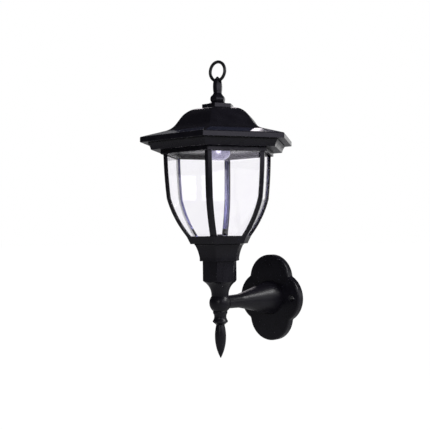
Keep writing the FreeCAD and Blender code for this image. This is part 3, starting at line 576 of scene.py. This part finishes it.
def makeBall():
    b = ball
    topR = math.sqrt(b["r"] ** 2 - b["top"] ** 2)
    footR = math.sqrt(b["r"] ** 2 - b["foot"] ** 2)
    bm = spinOutline(outline((0, -b["foot"]), [(footR, -b["foot"]), ((b["r"], 0), (topR, b["top"])),
                                               (0, b["top"])], cuts=30), 64)
    cutPiece(bm, lanternAxis + Vector((0, b["seat"] * mm, 0)), (0, 1, 0))
    placePiece("ballHub", bm, turnedBlack, "bracket", ["ball_hub"], edge=0.25)


def makeDrop():
    d = drop
    top = -ball["foot"]
    h = d["topH"]
    neck = top - h
    tip = neck - d["bulletH"]
    long = d["bulletH"]
    points = outline((0, top), [
        (0.95 * d["collarR"], top),
        ((d["collarR"], top - 0.16 * h), (0.9 * d["collarR"], top - 0.26 * h)),
        ((d["waistR"], top - 0.4 * h), (0.97 * d["flangeR"], top - 0.7 * h)),
        ((d["flangeR"], top - 0.76 * h), (0.88 * d["flangeR"], top - 0.84 * h)),
        (d["neckR"], neck),
        ((d["bulletR"], neck - 0.36 * long), (0.57 * d["bulletR"], tip + 0.2 * long)),
        ((0.26 * d["bulletR"], tip + 0.07 * long), (0.4, tip)),
        (0, tip)], cuts=14)
    placePiece("dropFinial", spinOutline(points, 56), turnedBlack, "bracket", ["drop_finial"],
               edge=0.3)


makeBall()
makeDrop()
print("arm, ball and drop made")

# lantern base: six-sided collar that is turned to a round neck underneath
base = {"neckR": 9.4, "neckZ": 7.4, "neckH": 3.44, "neckFlare": 0.2, "coveR": 12.7, "coveZ": 18.752,
        "collarR": 19.9, "collarZ": 24.6, "collarCorner": 19.8, "bandZ": 46.1, "bandCorner": 23.2,
        "upperZ": 49.4, "coveOut": 0.28, "coveUp": 6.486, "lipCorner": 28.2, "lipZ": 63.5,
        "topCorner": 29.0, "topZ": 64.9}


def makeBase():
    b = base
    rows = outline((b["neckR"], b["neckZ"]), [(b["neckR"] + b["neckFlare"], b["neckZ"] + b["neckH"]),
                   ((b["coveR"], b["coveZ"]), (b["collarR"], b["collarZ"]))], cuts=40)
    bm = spinOutline([(0, b["neckZ"])] + rows, 72)

    def flatR(angle):
        # radius of the collar's six-sided bar in a direction
        return b["collarCorner"] * sideFactor / math.cos(angle % math.radians(60) - math.radians(30))

    # every column of the turned cove ends where it meets the bar, which leaves scallops under the flats
    radii = [r for r, z in rows]
    for v in bm.verts:
        out = v.co - lanternAxis
        r = math.hypot(out.x, out.y) / mm
        if r < b["neckR"] - 0.01:
            continue
        angle = math.atan2(out.y, out.x)
        share = min(range(len(rows)), key=lambda i: abs(rows[i][1] - out.z / mm)) / (len(rows) - 1)
        limit = flatR(angle)
        last = next((i for i, x in enumerate(radii) if x > limit), len(rows) - 1)
        step = radii[last] - radii[last - 1]
        end = last - 1 + (limit - radii[last - 1]) / step if radii[last] > limit else last
        at = share * end
        low = min(int(at), len(rows) - 2)
        mix = at - low
        newR = rows[low][0] * (1 - mix) + rows[low + 1][0] * mix
        newZ = rows[low][1] * (1 - mix) + rows[low + 1][1] * mix
        v.co = lanternAxis + Vector((math.cos(angle) * newR, math.sin(angle) * newR, newZ)) * mm
    # the bar's flats rise from the scalloped edge to the band
    edge = [e for e in bm.edges if e.is_boundary]
    rise = bmesh.ops.extrude_edge_only(bm, edges=edge)
    for v in [g for g in rise["geom"] if isinstance(g, bmesh.types.BMVert)]:
        v.co.z = b["bandZ"] * mm
    bmesh.ops.dissolve_limit(bm, angle_limit=math.radians(0.05), verts=bm.verts, edges=bm.edges,
                             use_dissolve_boundaries=True)
    upper = spinOutline(sixOutline((b["collarCorner"], b["bandZ"]), [
        (b["bandCorner"], b["bandZ"]), (b["bandCorner"], b["upperZ"]),
        ((b["bandCorner"] + b["coveOut"] * (b["topCorner"] - b["bandCorner"]), b["upperZ"] + b["coveUp"]),
         (b["lipCorner"], b["lipZ"])),
        (b["topCorner"], b["lipZ"]), (b["topCorner"], b["topZ"]), (0, b["topZ"])]), 6)
    joinFlats(upper)
    addInto(bm, upper)
    weld(bm, 1e-5)
    placePiece("lanternBase", bm, lanternBlack, "bracket", ["lantern_base"], edge=0.45)


makeBase()
print("lantern base made")

# cage: cup, six angle-section ribs, the ring on their tops and the bent clear panes
cage = {"cupZ": 64.9, "cupFoot": 33.5, "cupTopZ": 73.2, "cupTop": 37.9, "floorZ": 67.3, "seat": 4.6,
        "kneeZ": 114.2, "knee": 59.8, "kneeSag": 2.4, "topZ": 162.1, "top": 63.1, "topSag": 0.6,
        "flange": 4.3, "wall": 2.0, "ribTopZ": 164.1, "paneInset": 2.1, "paneWall": 1.5, "paneGap": 0.1,
        "ringCorner": 66.3, "ringTopZ": 166.6, "ringInner": 56.98, "grooveIn": 3.8, "overrun": 12}


def bowMiddle(a, az, b, bz, sag):
    run = math.hypot(b - a, bz - az)
    return ((a + b) / 2 + sag * abs(bz - az) / run, (az + bz) / 2 - sag * abs(b - a) / run)


def cageOutline(inset=0):
    c = cage
    low = bowMiddle(c["cupTop"], c["cupTopZ"], c["knee"], c["kneeZ"], c["kneeSag"])
    high = bowMiddle(c["knee"], c["kneeZ"], c["top"], c["topZ"], c["topSag"])
    lean = (low[0] - c["cupTop"]) / (low[1] - c["cupTopZ"])
    over = c["overrun"]   # both ends run on, and are cut off flat later
    return sixOutline((c["cupTop"] - over * lean, c["cupTopZ"] - over), [
        (c["cupTop"], c["cupTopZ"]), (low, (c["knee"], c["kneeZ"])),
        (high, (c["top"], c["topZ"])), (c["top"], c["topZ"] + over)], cuts=16, inset=inset)


def makeRib(angle):
    c = cage
    bm = spinOutline(cageOutline(), 2, first=-60, sweep=120)
    half = c["flange"] * sideFactor * mm
    for side in (-1, 1):
        cutPiece(bm, lanternAxis + Vector((0, side * half, 0)), (0, side, 0), fill=False)
    cutPiece(bm, lanternAxis, (-1, 0, 0), fill=False)
    bmesh.ops.solidify(bm, geom=bm.faces[:], thickness=c["wall"] * mm)
    bmesh.ops.recalc_face_normals(bm, faces=bm.faces)
    cutPiece(bm, (0, 0, (c["cupTopZ"] - 0.05) * mm), (0, 0, -1))
    cutPiece(bm, (0, 0, c["ribTopZ"] * mm), (0, 0, 1))
    turnPiece(bm, angle)
    return bm


def makeCage():
    c = cage
    well = c["cupTop"] - c["seat"] / sideFactor
    bm = spinOutline(sixOutline((0, c["cupZ"]), [(c["cupFoot"], c["cupZ"]), (c["cupTop"], c["cupTopZ"]),
                                                 (well, c["cupTopZ"]), (well, c["floorZ"]),
                                                 (0, c["floorZ"])]), 6)
    joinFlats(bm)
    ribs = bmesh.new()
    for i in range(6):
        addInto(ribs, makeRib(60 * i))
    # the second finish is painted light: a light violet colour on the faces turned to the axis
    for face in ribs.faces:   # the faces that look at the axis take the second finish
        inward = (lanternAxis - face.calc_center_median()) * Vector((1, 1, 0))
        if face.normal.dot(inward.normalized()) > 0.75:
            face.material_index = 1
    addInto(bm, ribs)
    cageRibs = placePiece("cageRibs", bm, lanternBlack, "bracket", ["cage_frame"],
                          edge=0.35)
    cageRibs.data.materials.append(ribInnerPaintedLight)
    ringIn = c["ringInner"]
    grooveOut = c["top"] + c["paneGap"] / sideFactor
    grooveIn = c["top"] - c["grooveIn"] / sideFactor
    ring = spinOutline([(c["ringCorner"], c["topZ"]), (c["ringCorner"], c["ringTopZ"]),
                        (ringIn, c["ringTopZ"]), (ringIn, c["topZ"]), (grooveIn, c["topZ"]),
                        (grooveIn, c["ribTopZ"]), (grooveOut, c["ribTopZ"]), (grooveOut, c["topZ"])],
                       6, closed=True)
    placePiece("cageTopRing", ring, lanternBlack, "bracket", ["cage_top_ring"], edge=0.4)


def makePane(i):
    c = cage
    bm = spinOutline(cageOutline(c["paneInset"]), 1, sweep=60)
    bmesh.ops.solidify(bm, geom=bm.faces[:], thickness=c["paneWall"] * mm)
    bmesh.ops.recalc_face_normals(bm, faces=bm.faces)
    gap = c["paneGap"] * mm
    for turn, side in ((0, -1), (60, 1)):
        along = Vector((math.cos(math.radians(turn)), math.sin(math.radians(turn)), 0))
        out = Vector((-along.y, along.x, 0)) * side
        cutPiece(bm, lanternAxis - out * gap, out)
    cutPiece(bm, (0, 0, c["cupTopZ"] * mm), (0, 0, -1))
    cutPiece(bm, (0, 0, c["ribTopZ"] * mm), (0, 0, 1))
    turnPiece(bm, 60 * i)
    placePiece("clearPane%d" % (i + 1), bm, clearPane, "bracket", ["pane_%d" % (i + 1)],
               edge=0)


makeCage()
for i in range(6):
    makePane(i)
print("cage and panes made")


# roof: rim, sloping skirt with its sunk strips, dished foot and dome, as one moulded shell
roof = {"rimZ": 174.3, "rimTopZ": 180.0, "rimCorner": 89.0, "rimEdge": 0.6, "skirtCorner": 61.0,
        "skirtZ": 187.2, "footCorner": 48.8, "footZ": 194.8, "shoulderCorner": 43.5,
        "shoulderZ": 201.6, "topCorner": 20.0, "topZ": 213.5, "wall": 2.2, "mouthCorner": 74.0,
        "dishUp": 0.435, "domeUp": 0.735, "stripMargin": 3.2, "stripGap": 0.15, "stripDepth": 1.2,
        "cell": 20}


def roofOutline():
    r = roof
    dish = (0.39 * r["skirtCorner"] + 0.61 * r["footCorner"],
            r["skirtZ"] + r["dishUp"] * (r["footZ"] - r["skirtZ"]))
    dome = (0.535 * r["shoulderCorner"] + 0.465 * r["topCorner"],
            r["shoulderZ"] + r["domeUp"] * (r["topZ"] - r["shoulderZ"]))
    return sixOutline((r["rimCorner"], r["rimZ"]), [
        (r["rimCorner"], r["rimTopZ"] - r["rimEdge"]), (r["rimCorner"] - r["rimEdge"], r["rimTopZ"]),
        (r["skirtCorner"], r["skirtZ"]), (dish, (r["footCorner"], r["footZ"])),
        (r["shoulderCorner"], r["shoulderZ"]), (dome, (r["topCorner"], r["topZ"])),
        (0.5, r["topZ"])], cuts=14)


def isSkirt(face):
    # the six broad sloping sides that carry the strips
    out = face.calc_center_median() - lanternAxis
    return (abs(out.z / mm - (roof["rimTopZ"] + roof["skirtZ"]) / 2) < 1.0
            and 0.9 < face.normal.z < 0.99 and math.hypot(out.x, out.y) > 0.055)


def makeRoof():
    r = roof
    outer = roofOutline()
    inner = [(x / sideFactor, z) for x, z in
             insetOutline([(x * sideFactor, z) for x, z in outer], r["wall"])]
    inner = [(inner[0][0], r["rimZ"] + r["wall"])] + [p for p in inner[1:] if p[0] > 1.0]
    profile = ([(0, r["topZ"])] + outer[::-1]
               + [(r["mouthCorner"], r["rimZ"]), (r["mouthCorner"], r["rimZ"] + r["wall"])]
               + inner + [(0, r["topZ"] - r["wall"])])
    bm = spinOutline(profile, 6)
    skirt = [f for f in bm.faces if isSkirt(f)]
    bmesh.ops.inset_individual(bm, faces=skirt, thickness=r["stripMargin"] * mm, depth=0)
    bmesh.ops.inset_individual(bm, faces=skirt, thickness=0.05 * mm, depth=-r["stripDepth"] * mm)
    joinFlats(bm)
    placePiece("roofShell", bm, roofBlack, "roof", ["roof_shell"], edge=0.5)


def makeStrip(i):
    # each strip starts as the same sloping side as its recess
    r = roof
    bm = spinOutline([(r["rimCorner"] - r["rimEdge"], r["rimTopZ"]), (r["skirtCorner"], r["skirtZ"])],
                     1, sweep=60)
    for f in bm.faces:
        if f.normal.z < 0:
            f.normal_flip()
    face = bm.faces[:][0]
    ring = bmesh.ops.inset_individual(bm, faces=[face],
                                      thickness=(r["stripMargin"] + r["stripGap"]) * mm, depth=0)
    bmesh.ops.delete(bm, geom=ring["faces"], context="FACES")
    uvLayer = bm.loops.layers.uv.new("stripMap")
    middle = Vector((math.cos(math.radians(30)), math.sin(math.radians(30)), 0))
    across = Vector((-middle.y, middle.x, 0))
    for loop in face.loops:
        out = loop.vert.co - lanternAxis
        loop[uvLayer].uv = (out.dot(across) / (r["cell"] * mm) + 2.25, out.dot(middle) / (r["cell"] * mm))
    bmesh.ops.solidify(bm, geom=[face], thickness=(r["stripDepth"] - 0.02) * mm)
    bmesh.ops.recalc_face_normals(bm, faces=bm.faces)
    turnPiece(bm, 60 * i)
    placePiece("solarStrip%d" % (i + 1), bm, solarStrip, "roof", ["solar_strip_%d" % (i + 1)],
               edge=0.25)


makeRoof()
for i in range(6):
    makeStrip(i)
print("roof made")

# finial on the roof, with the flared eye that the ring hangs in
finial = {"footZ": 213.5, "footCorner": 18.4, "footTopZ": 217.7, "slopeCorner": 8.6, "slopeZ": 220.1,
          "knobCorner": 8.8, "knobZ": 224.3, "knobTopZ": 228.5, "waistCorner": 4.9, "waistZ": 230.9,
          "bulgeCorner": 5.5, "bulgeZ": 237.62, "shoulderCorner": 4.7, "shoulderZ": 244.9,
          "tipCorner": 0.9, "tipZ": 249.2, "hingeZ": 244.7, "eyeR": 2.1, "ringR": 10.4, "wireR": 1.75}


def makeFinial():
    f = finial
    mixed = 0.52 * f["footCorner"] + 0.48 * f["slopeCorner"]
    points = sixOutline((0, f["footZ"]), [
        (f["footCorner"], f["footZ"]), (f["footCorner"], f["footTopZ"]),
        ((mixed, f["footTopZ"] + 0.528), (f["slopeCorner"], f["slopeZ"])),
        (0.8 * f["knobCorner"], f["slopeZ"]),
        ((f["knobCorner"], f["knobZ"]), (0.72 * f["knobCorner"], f["knobTopZ"])),
        ((0.9 * f["waistCorner"] + 0.1 * f["knobCorner"], f["waistZ"] - 0.96),
         (f["waistCorner"], f["waistZ"])),
        ((f["bulgeCorner"], f["bulgeZ"]), (f["shoulderCorner"], f["shoulderZ"])),
        (f["tipCorner"], f["tipZ"]), (0, f["tipZ"])], cuts=9)
    bm = spinOutline(points, 6)
    joinFlats(bm)
    piece = placePiece("roofFinial", bm, lanternBlack, "roof", ["roof_finial"], edge=0.25)
    half = f["bulgeCorner"] + 1
    mouth = f["eyeR"] + f["ringR"] - math.sqrt(f["ringR"] ** 2 - half ** 2)
    eye = spinOutline(outline((0, -half), [(mouth, -half), ((f["eyeR"], 0), (mouth, half)), (0, half)],
                              cuts=14), 32)
    turnPiece(eye, 90, "Y")
    bmesh.ops.translate(eye, verts=eye.verts, vec=(0, 0, f["hingeZ"] * mm))
    cutAway(piece, eye)


def makeRing():
    # round wire bent to a ring; its butt joint sits at the side of the eye
    f = finial
    bm = bmesh.new()
    bmesh.ops.create_circle(bm, cap_ends=False, segments=20, radius=f["wireR"] * mm)
    bmesh.ops.translate(bm, verts=bm.verts, vec=(f["ringR"] * mm, 0, 0))
    turnPiece(bm, 90, "X", centre=(0, 0, 0))
    bmesh.ops.spin(bm, geom=bm.verts[:] + bm.edges[:], cent=(0, 0, 0), axis=(0, 0, 1), dvec=(0, 0, 0),
                   angle=math.tau, steps=72, use_merge=True, use_normal_flip=False, use_duplicate=False)
    weld(bm)
    turnPiece(bm, 90, "X", centre=(0, 0, 0))
    bmesh.ops.translate(bm, verts=bm.verts,
                        vec=lanternAxis + Vector((0, 0, (f["hingeZ"] + f["ringR"]) * mm)))
    placePiece("hangingRing", bm, ringMetal, "ring", ["hanging_ring"], edge=0)


makeFinial()
makeRing()
print("finial and ring made")


# pieces whose solids are already right are copied, merged and given soft edges
def dressCad(node, name, finish, body, edge=0.3, edgeAngle=30):
    bm = bmesh.new()
    bm.from_mesh(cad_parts[node].data)
    bmesh.ops.remove_doubles(bm, verts=bm.verts, dist=2e-6)
    joinFlats(bm, 0.6)
    return placePiece(name, bm, finish, body, [node], edge=edge, edgeAngle=edgeAngle, rounds=2)


dressCad("light_tray", "lightTray", ceilingBlack, "roof", edge=0.35)

lens = {"r": 12.9, "bend": 5.6, "flange": 2.0, "flangeH": 1.2, "wall": 1.3, "floorZ": 168.8, "tipZ": 157.6}


def makeLens():
    s = lens

    def bowl(r, low):
        return outline((0.4, low), [((r * 0.78, low + s["bend"] * 0.26), (r, low + s["bend"]))], cuts=18)

    outside = bowl(s["r"], s["tipZ"])
    inside = bowl(s["r"] - s["wall"], s["tipZ"] + s["wall"])
    top = s["floorZ"] + s["flangeH"]
    points = ([(0, s["tipZ"])] + outside + [(s["r"], s["floorZ"]), (s["r"] + s["flange"], s["floorZ"]),
              (s["r"] + s["flange"], top), (s["r"] - s["wall"], top)]
              + inside[::-1] + [(0, s["tipZ"] + s["wall"])])
    placePiece("ledLens", spinOutline(points, 48), lensGlow, "roof", ["led_lens"], edge=0)


capNut = {"r": 7.4, "footZ": 68.3, "shoulderZ": 73.1, "domeH": 2.7, "boreR": 2.45}


def makeCapNut():
    n = capNut
    top = n["shoulderZ"] + n["domeH"]
    points = outline((n["boreR"], n["shoulderZ"]), [
        (n["boreR"], n["footZ"]), (n["r"], n["footZ"]), (n["r"], n["shoulderZ"]),
        ((0.56 * n["r"], n["shoulderZ"] + 0.7 * n["domeH"]), (0.4, top)), (0, top)], cuts=12)
    bm = spinOutline([(0, n["shoulderZ"])] + points, 48)
    placePiece("capNut", bm, turnedBlack, "bracket", ["cap_nut"], edge=0.3)


makeLens()
makeCapNut()
print("tray, lens and nut made")


# what sits inside keeps its solids and gets finishes of its own
def paintNode(node, finish):
    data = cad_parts[node].data
    data.materials.clear()
    data.materials.append(finish)


def makeBoard():
    # green board with copper tracks that show through, darker chips on top
    finish, tree, body, place = newFinish("circuitBoard", **{"Roughness": 0.35})
    tracks = addNode(tree, "ShaderNodeTexBrick", {
        "Vector": place, "Color1": (0.01, 0.09, 0.035, 1), "Color2": (0.012, 0.11, 0.04, 1),
        "Mortar": (0.035, 0.2, 0.08, 1), "Scale": 1.0, "Mortar Size": 0.0004, "Brick Width": 0.0075,
        "Row Height": 0.0032}, offset=0.35)
    parts = addNode(tree, "ShaderNodeSeparateXYZ", {0: place})
    above = addMath(tree, "GREATER_THAN", parts.outputs["Z"], 0.1759)
    grain = useGroup(tree, mouldedGrain, {"Vector": place, "Grain": 800.0, "Wave": 90.0})
    chip = mixTone(tree, grain["Patch"], (0.018, 0.018, 0.02), (0.035, 0.035, 0.037))
    tree.links.new(mixTone(tree, above, tracks.outputs["Color"], chip), body.inputs["Base Color"])
    addBump(tree, body, tracks.outputs["Fac"], 0.4, 0.00004)
    return finish


def makeCellSleeve():
    # shrink sleeve of the rechargeable cell, bare metal at its ends
    finish, tree, body, place = newFinish("cellSleeve")
    parts = addNode(tree, "ShaderNodeSeparateXYZ", {0: place})
    bare = addRange(tree, addMath(tree, "ABSOLUTE", parts.outputs["X"]), fromLow=0.0232, fromHigh=0.0234)
    grain = useGroup(tree, mouldedGrain, {"Vector": place, "Grain": 500.0, "Wave": 80.0})
    sleeve = mixTone(tree, grain["Patch"], (0.02, 0.1, 0.2), (0.03, 0.14, 0.27))
    tree.links.new(mixTone(tree, bare, sleeve, (0.6, 0.6, 0.58)), body.inputs["Base Color"])
    tree.links.new(bare, body.inputs["Metallic"])
    tree.links.new(addRange(tree, grain["Patch"], 0.22, 0.38), body.inputs["Roughness"])
    return finish


def makeLedGlow():
    # clear diode body that shines, brightest at its tip
    finish, tree, body, place = newFinish("ledGlow", **{"Roughness": 0.2, "Emission Strength": 4.0})
    parts = addNode(tree, "ShaderNodeSeparateXYZ", {0: place})
    tip = addRange(tree, parts.outputs["Z"], fromLow=0.172, fromHigh=0.1655)
    soft = addMath(tree, "MULTIPLY_ADD", addNoise(tree, place, 700.0), 0.2, tip, use_clamp=True)
    tree.links.new(mixTone(tree, soft, (0.5, 0.5, 0.75), (1, 1, 1)), body.inputs["Emission Color"])
    tree.links.new(mixTone(tree, soft, (0.7, 0.7, 0.8), (0.9, 0.9, 0.95)), body.inputs["Base Color"])
    return finish


insidePieces = {
    "arm_screws": screwSteel, "tie_rod": screwSteel, "rod_washer": screwSteel, "tray_gasket": gasketRubber,
    "tray_screws": screwSteel, "circuit_board": makeBoard(), "board_screws": screwSteel,
    "led": makeLedGlow(), "battery": makeCellSleeve(), "battery_cradle": switchPlastic,
    "battery_contacts": contactMetal, "battery_lead_red": leadRed, "battery_lead_black": leadBlack,
    "solar_lead_red": leadRed, "solar_lead_black": leadBlack, "cell_links": leadRed,
    "switch_body": switchPlastic, "switch_slider": switchKnob, "finial_nut": screwSteel}
for node, finish in insidePieces.items():
    paintNode(node, finish)
print("inside pieces finished")


def seenPlainly(tree, path):
    # what the camera sees, also through the panes
    return addMath(tree, "MAXIMUM", path.outputs["Is Camera Ray"], path.outputs["Is Transmission Ray"])


floorSetup = {"size": 24, "z": -0.34}


# pale floor below; the camera sees it as white as the backdrop, save where the lantern shades it
def makeFloor():
    bm = bmesh.new()
    bmesh.ops.create_grid(bm, x_segments=1, y_segments=1, size=floorSetup["size"])
    bmesh.ops.translate(bm, verts=bm.verts, vec=(0, 0, floorSetup["z"]))
    mesh = bpy.data.meshes.new("paleFloor")
    bm.to_mesh(mesh)
    bm.free()
    floor = bpy.data.objects.new("paleFloor", mesh)
    bpy.context.collection.objects.link(floor)
    finish, tree, body, place = newFinish("paleFloor", **{"Roughness": 0.9, "Specular IOR Level": 0.2})
    cloud = addNoise(tree, place, 3.0)
    tree.links.new(mixTone(tree, cloud, (0.46, 0.46, 0.46), (0.5, 0.5, 0.5)), body.inputs["Base Color"])
    share = addMath(tree, "MULTIPLY", seenPlainly(tree, addNode(tree, "ShaderNodeLightPath")), 0.86)
    white = addNode(tree, "ShaderNodeEmission", {"Color": (1, 1, 1, 1), "Strength": 1.14})
    setSurface(tree, mixShader(tree, share, body.outputs[0], white.outputs[0]))
    mesh.materials.append(finish)


def makeWorld():
    world = bpy.data.worlds.new("studio")
    bpy.context.scene.world = world
    world.use_nodes = True
    tree = world.node_tree
    tree.nodes.clear()
    path = addNode(tree, "ShaderNodeLightPath")
    way = addNode(tree, "ShaderNodeTexCoord").outputs["Generated"]
    # glossy pieces show a dim room, and a white backdrop low behind the lantern
    toBack = addNode(tree, "ShaderNodeVectorMath", {0: way, 1: (0.3, 0.95, 0.0)},
                     operation="DOT_PRODUCT")
    behind = addRange(tree, toBack.outputs["Value"], fromLow=0.15, fromHigh=0.75)
    height = addNode(tree, "ShaderNodeSeparateXYZ", {0: way}).outputs["Z"]
    low = addRange(tree, height, fromLow=0.36, fromHigh=0.16)
    room = mixTone(tree, addMath(tree, "MULTIPLY", behind, low), (0.03, 0.029, 0.034), (1, 1, 1))

    def addLight(color, strength):
        return addNode(tree, "ShaderNodeBackground", {"Color": color, "Strength": strength}).outputs[0]

    lit = mixShader(tree, path.outputs["Is Glossy Ray"], addLight((0.97, 0.97, 1.0, 1), 0.5),
                    addLight(room, 1.0))
    seen = mixShader(tree, seenPlainly(tree, path), lit, addLight((1, 1, 1, 1), 1.0))
    addNode(tree, "ShaderNodeOutputWorld", {"Surface": seen})


# lamps stand round the lantern: turned from +X, raised above its middle, both in degrees
lamps = {
    "keyLamp": {"turn": 16, "rise": 26, "away": 1.6, "watts": 7, "size": 0.2, "tone": (1, 1, 1)},
    "armLamp": {"turn": 36, "rise": 37, "away": 1.5, "watts": 7.5, "size": 0.45, "tone": (1, 1, 1)},
    "sideCard": {"turn": -12, "rise": 15, "away": 1.2, "watts": 1.6, "size": 0.5, "tone": (0.88, 0.84, 1.0)},
    "frontLamp": {"turn": -69, "rise": 12, "away": 1.5, "watts": 2, "size": 0.4, "tone": (1, 1, 1)},
    "backLamp": {"turn": 129.5, "rise": 25.5, "away": 1.5, "watts": 0.8, "size": 0.34,
                 "tone": (1, 0.93, 0.98)}}
lampAim = lanternAxis + Vector((0, 0, 0.1))


def makeLamp(name, turn, rise, away, watts, size, tone):
    data = bpy.data.lights.new(name, "AREA")
    data.shape = "DISK"
    data.size = size
    data.energy = watts
    data.color = tone
    lamp = bpy.data.objects.new(name, data)
    bpy.context.collection.objects.link(lamp)
    turn, rise = math.radians(turn), math.radians(rise)
    out = Vector((math.cos(turn) * math.cos(rise), math.sin(turn) * math.cos(rise), math.sin(rise)))
    facing = out.to_track_quat("Z", "Y").to_matrix().to_4x4()
    lamp.matrix_world = Matrix.Translation(lampAim + out * away) @ facing


makeFloor()
makeWorld()
for name, setup in lamps.items():
    makeLamp(name, **setup)
bpy.context.scene.view_settings.view_transform = "Standard"
print("floor, world and lamps set")
